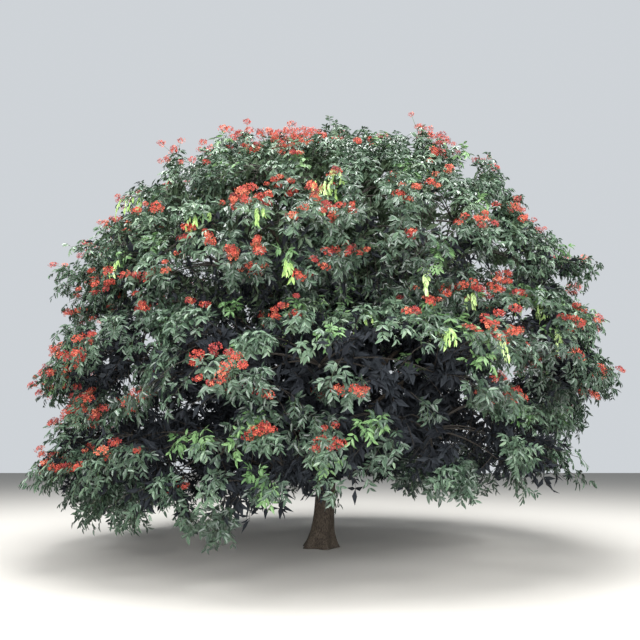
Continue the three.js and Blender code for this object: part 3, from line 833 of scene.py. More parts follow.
def trunk_surface(rings, sides, relief):
    """
    The trunk as rings up its leader: middle + (radius * lobes + relief) round, where the lobes are 1 +
    depth * exp(-height / fall) * cos(5 * angle), and the ends are closed flat.
    """
    height = TRUNK_TOP * np.linspace(0, 1, rings) ** RINGS_CROWD
    angle = 2 * math.pi * np.arange(sides) / sides
    h, a = np.meshgrid(height, angle, indexing="ij")
    radius = np.interp(h, TRUNK_PROFILE[:, 0], TRUNK_PROFILE[:, 1])
    lobes = 1 + ROOT_LOBE_DEPTH * np.exp(-h / ROOT_LOBE_HEIGHT) * np.cos(ROOT_LOBES * a)
    bumps = wood_relief(a, h, relief) * np.clip(radius / TRUNK_FULL_RELIEF, LEAST_RELIEF, 1)
    outward = np.stack([np.cos(a), -np.sin(a), np.zeros_like(a)], axis=-1)
    corners = trunk_middle(h) + outward * (radius * lobes + bumps)[..., None]
    faces = tube_faces(1, rings, sides)[:, ::-1]
    return corners.reshape(-1, 3), faces


def bough_surfaces(steps, sides, relief):
    """Boughs as tapering tubes on their curves, swollen where they leave the trunk, with knots."""
    boughs = [m for m in MASSES if m.thick]
    t = np.linspace(0, 1, steps)
    points = np.stack([cubic(*m.bough, t) for m in boughs])
    thick = np.array([m.thick for m in boughs])[:, None]
    radii = thick + (BOUGH_TIP - thick) * t
    run = np.linalg.norm(np.diff(points, axis=1), axis=-1).cumsum(axis=1)
    run = np.concatenate([np.zeros((len(boughs), 1)), run], axis=1)
    collar = COLLAR * np.exp(-((run / COLLAR_FADES) ** 2))
    knots = 1 + KNOT_DEPTH * np.sin(KNOTS_FOLLOW * run + thick * KNOTS_SHIFT) + collar
    across = np.stack([m.axes[1] for m in boughs])
    corners, faces = tubes(points, radii * knots, across, sides)
    grid = corners.reshape(len(boughs), steps, sides, 3)
    out = unit(grid - points[:, :, None])
    a = 2 * math.pi * np.arange(sides) / sides
    along = BARK_ALONG * run[:, :, None] + thick[:, :, None] * BARK_SHIFT
    bumps = wood_relief(a[None, None], along, relief)
    grid = grid + out * bumps[..., None] * (radii / BOUGH_FULL_RELIEF)[:, :, None, None]
    return grid.reshape(-1, 3), faces


# Radii in metres where young wood begins and where it ends
TWIG_RADII = (0.016, 0.006)
BRANCHLET_RADII = (0.0075, 0.003)
SHOOT_RADII = (0.009, 0.004)
LEAF_STALK_HALF_WIDTHS = (0.004, 0.002)
HEAD_STALK_RADII = (0.004, 0.003)


def taper(points, first, last):
    """Radii that pass evenly from the first to the last, for tubes whose points are tubes x steps x 3."""
    return np.broadcast_to(first + (last - first) * np.linspace(0, 1, points.shape[1]), points.shape[:2])


def bent_tubes(curves, radii, grid):
    """Tapering tubes along curves that start at the first of three points and bend by the second."""
    start, bend, end = curves
    steps, sides = grid
    points = quadratic(start[:, None], bend[:, None], end[:, None], np.linspace(0, 1, steps)[None])
    return tubes(points, taper(points, *radii), square_to(unit(end - start), UP), sides)


def stem_surfaces(sprays):
    """The stems that carry each mass's twigs, and the twigs themselves, as tubes."""
    stems = [np.array(points) for points in zip(*(m.stem for m in MASSES))]
    tip = np.array([m.tip_radius for m in MASSES])[:, None]
    twigs = np.concatenate(list(sprays.twigs.values())).transpose(1, 0, 2)
    return [bent_tubes(stems, (tip, STEM_TIP), STEM_GRID), bent_tubes(twigs, TWIG_RADII, TWIG_GRID)]


# Leaves stand this share of their branchlet apart. One heads by shares of the branchlet's heading, of the
# crown's outward side and of up, beside one share straight off the branchlet. A limp one heads by shares
# of all that, of the outward side and of down.
LEAF_STEP = 0.07
LEAF_ALONG = 0.4
LEAF_OUT = 0.35
LEAF_UP = 0.12
LIMP_LEAVING = 0.35
LIMP_OUT = 0.25
LIMP_DOWN = 0.5

# A rachis, as shares of the leaf's length: where it bends, how far it reaches and how far it falls
RACHIS_BEND = 0.55
RACHIS_REACH = 0.85
RACHIS_FALL = (0.05, 0.45)
LIMP_FALL = 0.9

# Leaves and leaflets are between these shares of the usual size
SIZES = (0.75, 1.2)

# Pairs of leaflets: their places as shares of the rachis, and the shares of along, aside and down that
# they head by
PAIR_PLACES = np.array([0.42, 0.72, 1.0])
LEAFLET_ALONG = 0.55
LEAFLET_ASIDE = 0.8
LEAFLET_SAG = (0.1, 0.7)
LIMP_ASIDE = 0.3
LIMP_SAG = 1.3

# How far leaflets' headings stray, and how far their faces look up, turn and fold towards the rachis
LEAFLET_STRAY = 0.22
LEAFLET_LOOKS_UP = 0.75
LEAFLET_TURN = 0.35
LEAFLET_FOLD = 0.25

# A dark leaflet's place in the list of colours, from painted shade to painted light: at the middle of
# a shelf, how much lighter at its top as painted light from above, and how sprays and then leaflets vary
PAINTED_SHADE_AT_MIDDLE = 2.1
PAINTED_LIGHT_UPWARDS = 1.5
SPRAYS_VARY = 0.8
LEAFLETS_VARY = 0.6


class Leaves:
    """
    The sprays' pinnate leaves: each stands off its branchlet at the golden angle from the last, and its
    rachis runs out and then hangs. Leaflets sit on it in pairs, each a blade that droops.
    """

    def __init__(self, sprays, per_spray, leaf_length, leaflet_length):
        rng = np.random.default_rng(SEEDS["leaves"])
        k = np.arange(per_spray)
        place = 1 - LEAF_STEP * (per_spray - 1 - k)
        lit = np.flatnonzero(sprays.lit)
        branchlet = [x[lit, None] for x in (sprays.root, sprays.bend, sprays.tip)]
        root = quadratic(*branchlet, place[None])
        heading = quadratic_heading(*branchlet, place[None])
        turn = GOLDEN_ANGLE * k[None] + rng.random((len(lit), 1)) * 2 * math.pi
        e1 = square_to(heading, np.broadcast_to(UP, heading.shape))
        e2 = np.cross(heading, e1)
        radial = e1 * np.cos(turn)[..., None] + e2 * np.sin(turn)[..., None]
        self.kind = np.repeat(sprays.kind[lit, None], per_spray, axis=1)
        older = self.kind[:, : per_spray - LIMP_LEAVES]
        older[older == FLUSH] = FRESH
        limp = (self.kind == FLUSH)[..., None]
        side = sprays.side[lit, None]
        leaving = unit(LEAF_ALONG * heading + radial + LEAF_OUT * side + LEAF_UP * UP)
        leaving = np.where(limp, unit(LIMP_LEAVING * leaving + LIMP_OUT * side - LIMP_DOWN * UP), leaving)
        length = leaf_length * rng.uniform(*SIZES, (len(lit), per_spray))[..., None]
        fall = np.where(limp, LIMP_FALL, rng.uniform(*RACHIS_FALL, (len(lit), per_spray))[..., None])
        bend = root + leaving * RACHIS_BEND * length
        tip = root + leaving * RACHIS_REACH * length - UP * fall * length
        self.curves = [x.reshape(-1, 3) for x in (root, bend, tip)]
        self.spray = np.repeat(lit, per_spray)
        self.kind = self.kind.ravel()
        self.grow_leaflets(rng, sprays, leaflet_length)

    def grow_leaflets(self, rng, sprays, leaflet_length):
        """Pairs at shares of the rachis. A leaflet heads along and aside, and sinks by its own weight."""
        root, bend, tip = (x[:, None] for x in self.curves)
        at = quadratic(root, bend, tip, PAIR_PLACES[None])
        along = quadratic_heading(root, bend, tip, PAIR_PLACES[None])
        each = (len(self.spray), len(PAIR_PLACES))
        out = sprays.side[self.spray][:, None] + LEAFLET_LOOKS_UP * UP
        face = unit(out - along * (out * along).sum(axis=-1, keepdims=True))
        aside = np.cross(face, along)
        limp = (self.kind == FLUSH)[:, None, None]
        rows = []
        for hand in (-1, 1):
            sag = np.where(limp, LIMP_SAG, rng.uniform(*LEAFLET_SAG, (*each, 1)))
            spread = np.where(limp, LIMP_ASIDE, LEAFLET_ASIDE)
            stray = rng.normal(0, LEAFLET_STRAY, (*each, 3))
            heading = unit(LEAFLET_ALONG * along + hand * spread * aside - sag * UP + stray)
            blade = face + rng.normal(0, LEAFLET_TURN, (*each, 3)) - LEAFLET_FOLD * hand * aside
            size = leaflet_length * rng.uniform(*SIZES, each)
            keep = at[..., 2] > LOWEST_LEAF
            owner = np.broadcast_to(self.spray[:, None], each)
            kind = np.broadcast_to(self.kind[:, None], each)
            rows.append((at[keep], heading[keep], blade[keep], size[keep], owner[keep], kind[keep]))
        self.at, self.heading, self.face, self.size, self.owner, kind = map(np.concatenate, zip(*rows))
        self.paint = self.deal_colours(rng, sprays, kind)

    def deal_colours(self, rng, sprays, kind):
        """A leaflet's material number: painted light by its height on its shelf, dealt by spray, a step
        either way by leaflet.
        """
        # Painted light: a spray higher on its shelf gets lighter leaflets
        light = PAINTED_SHADE_AT_MIDDLE + PAINTED_LIGHT_UPWARDS * sprays.high + rng.normal(0, SPRAYS_VARY, sprays.count)
        light = np.round(light[self.owner] + rng.normal(0, LEAFLETS_VARY, len(kind)))
        hard, fresh = len(HARD_LEAF_SHADE_TO_LIGHT_CODES), len(FRESH_LEAF_CODES)
        young = rng.integers(0, fresh, sprays.count)[self.owner]
        shifted = np.clip(young + rng.integers(-1, 2, len(kind)), 0, fresh - 1)
        paints = [np.clip(light, 0, hard - 1), hard + shifted, hard + fresh + shifted]
        return np.select([kind == DARK, kind == FRESH, kind == FLUSH], paints).astype(int)


# Inner leaves stand along this share of a lit branchlet, and a branchlet in the dark bears more of them
INNER_ALONG_LIT = 0.78
MORE_IN_THE_DARK = 2

# An inner leaf's heading: how far it strays and its shares of out and down, with how far its face strays
# and looks up, and the sizes, as shares of the usual one
INNER_STRAY = 0.75
INNER_OUT = 0.35
INNER_DOWN = 0.45
INNER_TURN = 0.5
INNER_LOOKS_UP = 0.5
INNER_SIZES = (0.7, 1.2)

# A shoot inside the crown: where on its bough it stands, as shares of that, how it strays each way, its
# shares of the bough's outward side and of up, its reach in metres, and, as shares of the reach, where it
# bends, how far it rises there and how far it falls at the end
SHOOT_PLACES = (0.12, 1)
SHOOT_STRAY = (1, 1, 0.7)
SHOOT_OUT = 0.5
SHOOT_UP = 0.25
SHOOT_REACH = (0.5, 1.2)
SHOOT_BEND = 0.55
SHOOT_RISE = 0.12
SHOOT_FALL = 0.1

# The chance of blossom rises up a shelf and on its ledges: at the middle, the rise, the least and the most
BLOOM_UPWARDS = (1, 0.6, 0.3, 1.2)
BLOOM_ON_LEDGES = (0.8, 0.4, 0.2, 1.1)

# Heads on a flowering spray: the fewest, one more than the most, their places as shares of the branchlet,
# how far they stray, in metres and each way, how far they rise, how far out for one share up, and their
# radii
HEADS_ON_SPRAY = (2, 4)
HEAD_PLACES = (0.75, 1.0)
HEAD_STRAY = 0.095
HEAD_STRAYS = (1, 1, 0.4)
HEAD_RISE = (0.03, 0.1)
HEAD_OUT = 1.4
HEAD_RADII = (0.042, 0.078)


def shade_leaves(sprays, per_branchlet, length):
    """
    Plain leaves inside the crown: they stand round the lower part of a lit branchlet, and twice as many
    all along one in the dark, hang, and close off the light.
    """
    rng = np.random.default_rng(SEEDS["shade"])
    borne = np.where(sprays.lit, per_branchlet, MORE_IN_THE_DARK * per_branchlet)
    own = np.repeat(np.arange(sprays.count), borne)
    place = rng.random(len(own)) * np.where(sprays.lit[own], INNER_ALONG_LIT, 1)
    root = quadratic(sprays.root[own], sprays.bend[own], sprays.tip[own], place)
    return hanging_leaves(rng, root, sprays.side[own], length)


def shoot_leaves(rng, shoots, length):
    """Plain leaves along the shoots inside the crown, outwards from the trunk."""
    foot, bend, tip = (np.repeat(x, SHOOT_LEAVES, axis=0) for x in shoots)
    root = quadratic(foot, bend, tip, rng.uniform(SHOOT_LEAVES_FROM, 1, len(foot)))
    return hanging_leaves(rng, root, unit(root * (1, 1, SHOOT_LEAVES_LEVEL)), length * SHOOT_LEAF_LONGER)


def hanging_leaves(rng, root, side, length):
    """Leaves that head any way, mostly outwards and down, as blade arguments. None hangs to the ground."""
    above = root[:, 2] > LOWEST_LEAF + length
    root, side = root[above], side[above]
    heading = rng.normal(0, INNER_STRAY, root.shape) + INNER_OUT * side - INNER_DOWN * UP
    face = side + INNER_LOOKS_UP * UP + rng.normal(0, INNER_TURN, root.shape)
    size = length * rng.uniform(*INNER_SIZES, len(root))
    return root, heading, face, size, INNER_HALF_WIDTH * size


def inner_shoots(per_bough, on_trunk):
    """
    Leafy shoots along each bough and up the trunk inside the crown: curves that rise and then arch.
    Those that would hang out below the crown's lower rim are left off.
    """
    rng = np.random.default_rng(SEEDS["shoots"])
    boughs = [m for m in MASSES if m.thick]
    t = rng.uniform(*SHOOT_PLACES, (len(boughs), per_bough))
    foot = np.concatenate([cubic(*m.bough, t[i]) for i, m in enumerate(boughs)])
    lean = np.repeat([m.outward for m in boughs], per_bough, axis=0) * SHOOT_OUT
    heights = rng.uniform(TRUNK_SHOOTS_FROM, TRUNK_SHOOTS_TO, on_trunk)
    foot = np.concatenate([foot, trunk_middle(heights)])
    lean = np.concatenate([lean, np.zeros((on_trunk, 3))])
    way = unit(rng.normal(0, 1, foot.shape) * SHOOT_STRAY + lean + SHOOT_UP * UP)
    reach = rng.uniform(*SHOOT_REACH, (len(foot), 1))
    bend = foot + way * SHOOT_BEND * reach + UP * SHOOT_RISE * reach
    tip = foot + way * reach - UP * SHOOT_FALL * reach
    kept = above_rim(tip, SHOOTS_ABOVE_RIM)
    return foot[kept], bend[kept], tip[kept]


def bounded(x, middle, rise, least, most):
    """A chance that rises evenly with x from its value at nought, within bounds."""
    return np.clip(middle + rise * x, least, most)


def blossom_heads(sprays, chance):
    """
    Where heads of blossom stand: whole tufts flower, most of them in the rich spots, and two or three
    heads crowd round each spray's end in the middle of such a tuft, on its upper side. Gives each
    head's middle, its foot, its radius, its outward side and its tier.
    """
    rng = np.random.default_rng(SEEDS["heads"])
    s = sprays
    places = [in_spots(s.tip, RICHEST_SPOTS), in_spots(s.tip, RICH_SPOTS), s.tip[:, 1] < FACING_UNTIL]
    likely = np.select(places, FLOWERING[:3], FLOWERING[3]) * chance
    brink = np.select(places, FLOWERING_BROW[:3], FLOWERING_BROW[3])
    seen = seen_place(s.tip)
    height = seen[:, 1] - BLOOM_RISE * np.clip(seen[:, 0] - BLOOM_RISES_FROM, 0, BLOOM_RISES_FOR)
    likely *= np.interp(height, BLOOM_THINS, [BLOOM_AT_FOOT, 1])
    likely *= bounded(s.high, *BLOOM_UPWARDS) * bounded(s.ledge, *BLOOM_ON_LEDGES)
    dealt = rng.random(len(SHELVES) * TUFTS)[s.tuft]
    flowering = np.flatnonzero(s.lit & (s.kind == DARK) & (s.brow > brink) & (dealt < likely))
    own = np.repeat(flowering, rng.integers(*HEADS_ON_SPRAY, len(flowering)))
    foot = quadratic(s.root[own], s.bend[own], s.tip[own], rng.uniform(*HEAD_PLACES, len(own)))
    aside = rng.normal(0, HEAD_STRAY, foot.shape) * HEAD_STRAYS
    rise = rng.uniform(*HEAD_RISE, (len(own), 1))
    middle = foot + (UP + HEAD_OUT * s.side[own]) * rise + aside
    low, high = np.array(CAD_BOX)
    kept = np.all((middle > low - HEADS_PAST_SOLIDS) & (middle < high + HEADS_PAST_SOLIDS), axis=1)
    heads = middle, foot, rng.uniform(*HEAD_RADII, len(own)), s.side[own], s.tier[own]
    return tuple(x[kept] for x in heads)


# A head: the share of a ball its flowers cover, how far it leans outwards, how flat its dome is, how deep
# in it flowers stand, as shares of its radius, and how far they stray
DOME = 0.8
HEAD_LEANS = 0.6
DOME_FLAT = (1, 1, 0.6)
FLOWER_DEPTH = (0.55, 1.25)
FLOWER_STRAY = 0.12

# The shares of heads and of single flowers in each colour, and the share of flowers that keep their head's
HEAD_COLOURS = (0.34, 0.28, 0.16, 0.14, 0.08)
FLOWER_COLOURS = (0.34, 0.28, 0.14, 0.16, 0.08)
KEEP_HEADS_COLOUR = 0.6

# A flower: its petals, how far they are turned forwards and how far stamens spread from its middle
PETALS = 4
PETAL_FORWARDS = 0.25
STAMEN_SPREAD = 0.45


def head_parts(heads, flowers, stamens):
    """
    Heads as domes of flowers: flower k faces the kth direction of a golden-angle spread over the upper
    four fifths of a ball, four petals turned a quarter from each other, and stamens standing out.
    """
    rng = np.random.default_rng(SEEDS["flowers"])
    middle, _, radius, side, _ = heads
    spread = sphere_points(int(flowers / DOME))[:flowers]
    axis = unit(side * HEAD_LEANS + UP)
    e1 = square_to(axis, np.broadcast_to([1.0, 0.2, 0], axis.shape))
    e2 = np.cross(axis, e1)
    basis = np.stack([e1, e2, axis], axis=1)
    facing = unit(spread[None] @ basis + rng.normal(0, FLOWER_STRAY, (len(middle), flowers, 3)))
    squashed = (spread[None] * DOME_FLAT) @ basis
    depth = radius[:, None, None] * rng.uniform(*FLOWER_DEPTH, (len(middle), flowers, 1))
    at = (middle[:, None] + squashed * depth).reshape(-1, 3)
    facing = facing.reshape(-1, 3)
    size = np.repeat(radius, flowers)
    f1 = square_to(facing, np.broadcast_to([0.3, 1.0, 0.1], facing.shape))
    f2 = np.cross(facing, f1)
    turn = rng.random(len(at)) * 2 * math.pi
    colours = len(BLOSSOM_CODES)
    heads_own = np.repeat(rng.choice(colours, len(middle), p=HEAD_COLOURS), flowers)
    flowers_own = rng.choice(colours, len(at), p=FLOWER_COLOURS)
    paint = np.where(rng.random(len(at)) < KEEP_HEADS_COLOUR, heads_own, flowers_own)
    parts = []
    for k in range(PETALS):
        a = (turn + k * 2 * math.pi / PETALS)[:, None]
        heading = f1 * np.cos(a) + f2 * np.sin(a) + PETAL_FORWARDS * facing
        corners, faces = blades(
            PETAL, PETAL_FACES, at, heading, facing, PETAL_LENGTH * size, PETAL_HALF_WIDTH * size
        )
        parts.append((corners, faces, np.repeat(paint, len(PETAL_FACES))))
    for k in range(stamens):
        a = (turn + (k + 0.5) * 2 * math.pi / stamens)[:, None]
        heading = facing + STAMEN_SPREAD * (f1 * np.cos(a) + f2 * np.sin(a))
        corners, faces = blades(
            STAMEN, STAMEN_FACES, at, heading, f1 + f2, STAMEN_LENGTH * size, STAMEN_HALF_WIDTH * size
        )
        parts.append((corners, faces, colours))
    return parts


class ASHOKA_PG_wood(bpy.types.PropertyGroup):
    relief: FloatProperty(name="Bark relief", description="How far the bark's ridges stand out",
                          default=0.005, unit="LENGTH")
    grain: FloatProperty(name="Plate width", description="Width of a plate of bark", default=0.012,
                         unit="LENGTH")
    light: FloatVectorProperty(name="Plates", description="Colour of the bark's plates", subtype="COLOR",
                               default=linear(0x62584D))
    dark: FloatVectorProperty(name="Cracks", description="Colour in the bark's cracks", subtype="COLOR",
                              default=linear(0x28221D))


class ASHOKA_PG_crown(bpy.types.PropertyGroup):
    per_mass: IntProperty(name="Sprays on a mass", description="Places for sprays round a mass", default=370)
    per_shoulder: IntProperty(name="Sprays on a shoulder", description="Places for sprays between two masses",
                              default=210)
    more_twigs: IntProperty(name="More twigs", description="Twigs in a mass beside those of the solids",
                            default=6)


class ASHOKA_PG_leaves(bpy.types.PropertyGroup):
    per_spray: IntProperty(name="Leaves on a spray", description="Pinnate leaves on each spray", default=7)
    leaf: FloatProperty(name="Leaf length", description="Length of a pinnate leaf", default=0.16,
                        unit="LENGTH")
    leaflet: FloatProperty(name="Leaflet length", description="Length of one leaflet", default=0.108,
                           unit="LENGTH")
    inner: IntProperty(name="Inner leaves", description="Inner leaves on a lit branchlet", default=9)
    inner_length: FloatProperty(name="Inner leaf length", description="Length of an inner leaf",
                                default=0.195, unit="LENGTH")


class ASHOKA_PG_blossom(bpy.types.PropertyGroup):
    chance: FloatProperty(name="Abundance", description="How likely a tuft in full light flowers",
                          default=0.85)
    flowers: IntProperty(name="Flowers", description="Flowers in a head", default=14)
    stamens: IntProperty(name="Stamens", description="Groups of stamens that stand out of a flower",
                         default=1)


class ASHOKA_PG_stage(bpy.types.PropertyGroup):
    floor: FloatVectorProperty(name="Floor", description="Colour of the floor", subtype="COLOR",
                               default=linear(0xC9C6C0))
    sky: FloatVectorProperty(name="Backdrop", description="Colour of the light all round", subtype="COLOR",
                             default=linear(0xE4E9EE))


@lru_cache(maxsize=1)
def grown(per_mass, per_shoulder, more_twigs, per_spray, leaf_length, leaflet_length, chance):
    """The sprays, pinnate leaves, inner shoots and heads of blossom, grown once for all pieces."""
    sprays = Sprays(per_mass, per_shoulder, more_twigs)
    leaves = Leaves(sprays, per_spray, leaf_length, leaflet_length)
    return sprays, leaves, inner_shoots(SHOOTS_ON_BOUGH, SHOOTS_ON_TRUNK), blossom_heads(sprays, chance)


def crown(scene):
    """The sprays, leaves, shoots and heads by the scene's own settings."""
    sprays, leaves = scene.ashoka_crown, scene.ashoka_leaves
    return grown(sprays.per_mass, sprays.per_shoulder, sprays.more_twigs,
                 leaves.per_spray, leaves.leaf, leaves.leaflet, scene.ashoka_blossom.chance)


# The pieces of leaves up the crown, each with its tiers, and the piece that each tier is in. Blossom is in
# two pieces, which part at the upper tier.
CROWN_PARTS = {"skirt": ("skirt",), "low": ("lower",), "mid": ("middle",), "upper": ("upper",),
               "high": ("high", "top")}
TIER_PART = np.array([next(i for i, p in enumerate(CROWN_PARTS.values()) if t[0] in p) for t in TIERS])
HIGH_BLOSSOM = [t[0] for t in TIERS].index("upper")


class ASHOKA_OT_bark(bpy.types.Operator):
    """Put bark with its relief over the trunk and the boughs"""

    bl_idname = "ashoka.bark"
    bl_label = "Bark"

    def execute(self, context):
        wood = context.scene.ashoka_wood
        material = bark_material(wood.light, wood.dark, wood.grain)
        trunk = (*trunk_surface(*TRUNK_GRID, wood.relief), 0)
        boughs = (*bough_surfaces(*BOUGH_GRID, wood.relief), 0)
        piece = make_piece("bark", [trunk, boughs], [material])
        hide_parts("trunk", *(f"bough_{m.name}" for m in MASSES if m.thick))
        return {"FINISHED"}


class ASHOKA_OT_twigs(bpy.types.Operator):
    """Grow the stems, twigs, branchlets, shoots and the stalks of leaves and heads"""

    bl_idname = "ashoka.twigs"
    bl_label = "Twigs"

    def execute(self, context):
        # Young wood, still smooth: thin brown skin, then green stalks
        brown = plain_material("Brown twig skin", linear(TWIG_CODE), Roughness=0.75)
        green = plain_material("Green leaf stalk", linear(STALK_CODE), Roughness=0.55)
        sprays, leaves, shoots, (middle, foot, *_) = crown(context.scene)
        wood = stem_surfaces(sprays)
        wood.append(bent_tubes((sprays.root, sprays.bend, sprays.tip), BRANCHLET_RADII, THIN_GRID))
        wood.append(bent_tubes(shoots, SHOOT_RADII, THIN_GRID))
        make_piece("twigs", [(*part, 0) for part in wood], [brown])
        root, bend, tip = leaves.curves
        steps = np.linspace(0, 1, THIN_GRID[0])
        points = quadratic(root[:, None], bend[:, None], tip[:, None], steps[None])
        of_leaves = strips(points, taper(points, *LEAF_STALK_HALF_WIDTHS), square_to(unit(tip - root), UP))
        points = np.stack([foot, middle], axis=1)
        across = square_to(unit(middle - foot), np.array([1.0, 0, 0]))
        of_heads = tubes(points, taper(points, *HEAD_STALK_RADII), across, THIN_GRID[1])
        make_piece("stalks", [(*of_leaves, 0), (*of_heads, 0)], [green])
        return {"FINISHED"}


class ASHOKA_OT_leaves(bpy.types.Operator):
    """Hang every pinnate leaf's leaflets, in five pieces up the crown"""

    bl_idname = "ashoka.leaves"
    bl_label = "Leaves"

    def execute(self, context):
        # The hard leaflets' colours run from painted shade to painted light
        hard = leaf_materials("Leathery leaflet", HARD_LEAF_SHADE_TO_LIGHT_CODES, Roughness=0.32, Specular_IOR_Level=0.5)
        fresh = leaf_materials("Fresh leaflet", FRESH_LEAF_CODES, Roughness=0.45)
        flush = leaf_materials("Limp young leaflet", FLUSH_LEAF_CODES, Roughness=0.55)
        sprays, leaves, _, _ = crown(context.scene)
        part_of = TIER_PART[sprays.tier[leaves.owner]]
        for number, (name, tiers) in enumerate(CROWN_PARTS.items()):
            own = part_of == number
            corners, faces = blades(
                LEAFLET, LEAFLET_FACES, leaves.at[own], leaves.heading[own], leaves.face[own],
                leaves.size[own], LEAFLET_HALF_WIDTH * leaves.size[own],
            )
            paint = np.repeat(leaves.paint[own], len(LEAFLET_FACES))
            piece = make_piece(
                f"leaves_{name}", [(corners, faces, paint)], hard + fresh + flush, smooth=False
            )
            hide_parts(*(node for tier in tiers for node in NAMES[tier]))
        return {"FINISHED"}


class ASHOKA_OT_shade(bpy.types.Operator):
    """Fill the crown's inside with plain leaves on branchlets and shoots, in painted shade, lighter higher up
    """

    bl_idname = "ashoka.shade"
    bl_label = "Inner leaves"

    def execute(self, context):
        rng = np.random.default_rng(SEEDS["shoot leaves"])
        inner = leaf_materials("Painted-shade inner leaf", PAINTED_SHADE_LEAF_CODES, Roughness=0.75, Specular_IOR_Level=0.15)
        inner += leaf_materials("Painted-light upper inner leaf", UPPER_PAINTED_LIGHT_CODES, Roughness=0.5, Specular_IOR_Level=0.3)
        shades = len(PAINTED_SHADE_LEAF_CODES)
        leaves = context.scene.ashoka_leaves
        length = leaves.inner_length
        sprays, _, shoots, _ = crown(context.scene)
        parts = []
        for leaf in (shade_leaves(sprays, leaves.inner, length), shoot_leaves(rng, shoots, length)):
            corners, faces = blades(INNER_LEAF, INNER_FACES, *leaf)
            # Painted light: higher inner leaves take lighter colours more often, lower ones painted shade
            light = np.interp(leaf[0][:, 2], PAINTED_LIGHT_HEIGHTS, [0, 1])
            paint = rng.integers(0, shades, len(light)) + shades * (rng.random(len(light)) < light)
            parts.append((corners, faces, np.repeat(paint, len(INNER_FACES))))
        make_piece("inner_leaves", parts, inner, smooth=False)
        return {"FINISHED"}


class ASHOKA_OT_blossom(bpy.types.Operator):
    """Set the heads of blossom, in two pieces up the crown"""

    bl_idname = "ashoka.blossom"
    bl_label = "Blossom"

    def execute(self, context):
        blossom = context.scene.ashoka_blossom
        petals = leaf_materials("Waxy petal", BLOSSOM_CODES, Roughness=0.7, Specular_IOR_Level=0.25)
        stamen = plain_material("Stamen", linear(STAMEN_CODE), Roughness=0.5)
        heads = crown(context.scene)[3]
        high = heads[-1] >= HIGH_BLOSSOM
        for name, chosen in (("low", ~high), ("high", high)):
            own = [x[chosen] for x in heads]
            make_piece(f"blossom_{name}", head_parts(own, blossom.flowers, blossom.stamens),
                       [*petals, stamen], smooth=False)
        return {"FINISHED"}


# Stage in metres, watts and shares: half the floor's side, how bright the backdrop looks and how much of
# that lights the tree, the soft lamps' names, places, sizes and powers, and the place they face
FLOOR_HALF = 90
BACKDROP_SHOWS = 0.8
BACKDROP_LIGHTS = 0.42
LAMPS = (
    ("sky", (0, -4, 21), 16, 10000),
    ("key", (-11, -13, 13), 8, 2300),
    ("fill", (12, -12, 9), 8, 1900),
    ("front", (0, -19, 4), 10, 3300),
)
LAMPS_FACE = (0, 0, 4.5)


def aim(way):
    """The turn that points a lamp's -Z along a direction."""
    flat = math.hypot(way[0], way[1])
    return math.atan2(flat, -way[2]), 0, math.atan2(way[0], -way[1]) + math.pi


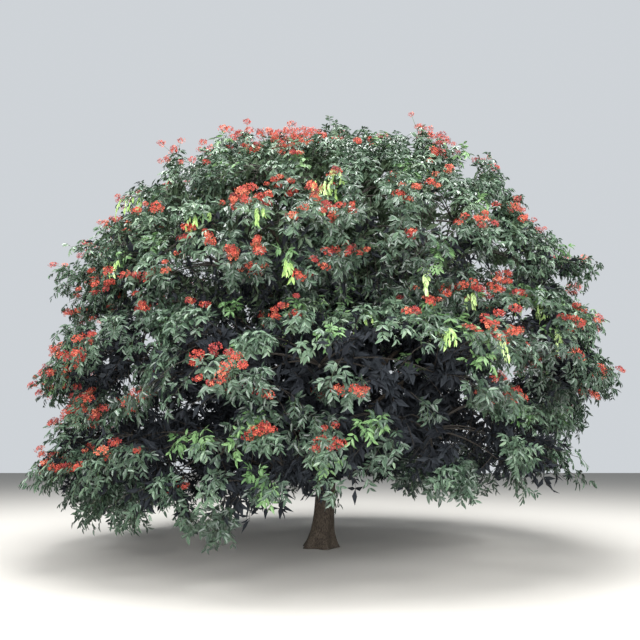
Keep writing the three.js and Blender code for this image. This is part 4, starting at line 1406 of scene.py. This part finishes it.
class ASHOKA_OT_stage(bpy.types.Operator):
    """Lay the floor and set the light and the camera"""

    bl_idname = "ashoka.stage"
    bl_label = "Stage"

    def execute(self, context):
        scene = context.scene
        stage = scene.ashoka_stage
        mesh = bpy.data.meshes.new("floor")
        corners = [(x * FLOOR_HALF, y * FLOOR_HALF, 0) for x, y in ((-1, -1), (1, -1), (1, 1), (-1, 1))]
        mesh.from_pydata(corners, [], [(0, 1, 2, 3)])
        mesh.materials.append(plain_material("Matt floor", stage.floor, Roughness=0.9))
        floor = link_object("floor", mesh)
        world = bpy.data.worlds.new("sky")
        world.use_nodes = True
        tree = world.node_tree
        # The backdrop shows pale, and lights the tree less than it shows
        lit = tree.nodes["Background"]
        lit.inputs["Color"].default_value = (*stage.sky, 1)
        lit.inputs["Strength"].default_value = BACKDROP_LIGHTS
        shown = add_node(tree, "ShaderNodeBackground", Color=(*stage.sky, 1), Strength=BACKDROP_SHOWS)
        path = add_node(tree, "ShaderNodeLightPath")
        mixed = add_node(tree, "ShaderNodeMixShader", Fac=path.outputs["Is Camera Ray"])
        tree.links.new(lit.outputs["Background"], mixed.inputs[1])
        tree.links.new(shown.outputs["Background"], mixed.inputs[2])
        tree.links.new(mixed.outputs["Shader"], tree.nodes["World Output"].inputs["Surface"])
        scene.world = world
        for name, place, size, power in LAMPS:
            lamp = bpy.data.lights.new(name, "AREA")
            lamp.size = size
            lamp.energy = power
            link_object(name, lamp, place, aim(np.subtract(LAMPS_FACE, place)))
        lens = bpy.data.cameras.new("camera")
        lens.lens = CAMERA_LENS
        lens.clip_end = 300
        scene.camera = link_object("camera", lens, CAMERA_PLACE, (math.radians(90 + CAMERA_TILT), 0, 0))
        scene.view_settings.view_transform = "Standard"
        return {"FINISHED"}


OPERATORS = (ASHOKA_OT_bark, ASHOKA_OT_twigs, ASHOKA_OT_leaves, ASHOKA_OT_shade, ASHOKA_OT_blossom,
             ASHOKA_OT_stage)
GROUPS = {"ashoka_wood": ASHOKA_PG_wood, "ashoka_crown": ASHOKA_PG_crown, "ashoka_leaves": ASHOKA_PG_leaves,
          "ashoka_blossom": ASHOKA_PG_blossom, "ashoka_stage": ASHOKA_PG_stage}


class ASHOKA_PT_panel(bpy.types.Panel):
    """Shows the tree's settings and the buttons that build its pieces"""

    bl_idname = "ASHOKA_PT_panel"
    bl_label = "Ashoka tree"
    bl_space_type = "VIEW_3D"
    bl_region_type = "UI"
    bl_category = "Ashoka"

    def draw(self, context):
        for key, group in GROUPS.items():
            box = self.layout.box()
            for name in group.__annotations__:
                box.prop(getattr(context.scene, key), name)
        for operator in OPERATORS:
            self.layout.operator(operator.bl_idname)


def register():
    for cls in (*GROUPS.values(), *OPERATORS, ASHOKA_PT_panel):
        bpy.utils.register_class(cls)
    for key, group in GROUPS.items():
        setattr(bpy.types.Scene, key, PointerProperty(type=group))


def unregister():
    for key in GROUPS:
        delattr(bpy.types.Scene, key)
    for cls in reversed((*GROUPS.values(), *OPERATORS, ASHOKA_PT_panel)):
        bpy.utils.unregister_class(cls)


def main():
    register()
    bpy.ops.ashoka.bark()
    bpy.ops.ashoka.twigs()
    bpy.ops.ashoka.leaves()
    bpy.ops.ashoka.shade()
    bpy.ops.ashoka.blossom()
    bpy.ops.ashoka.stage()


if __name__ == "__main__":
    main()
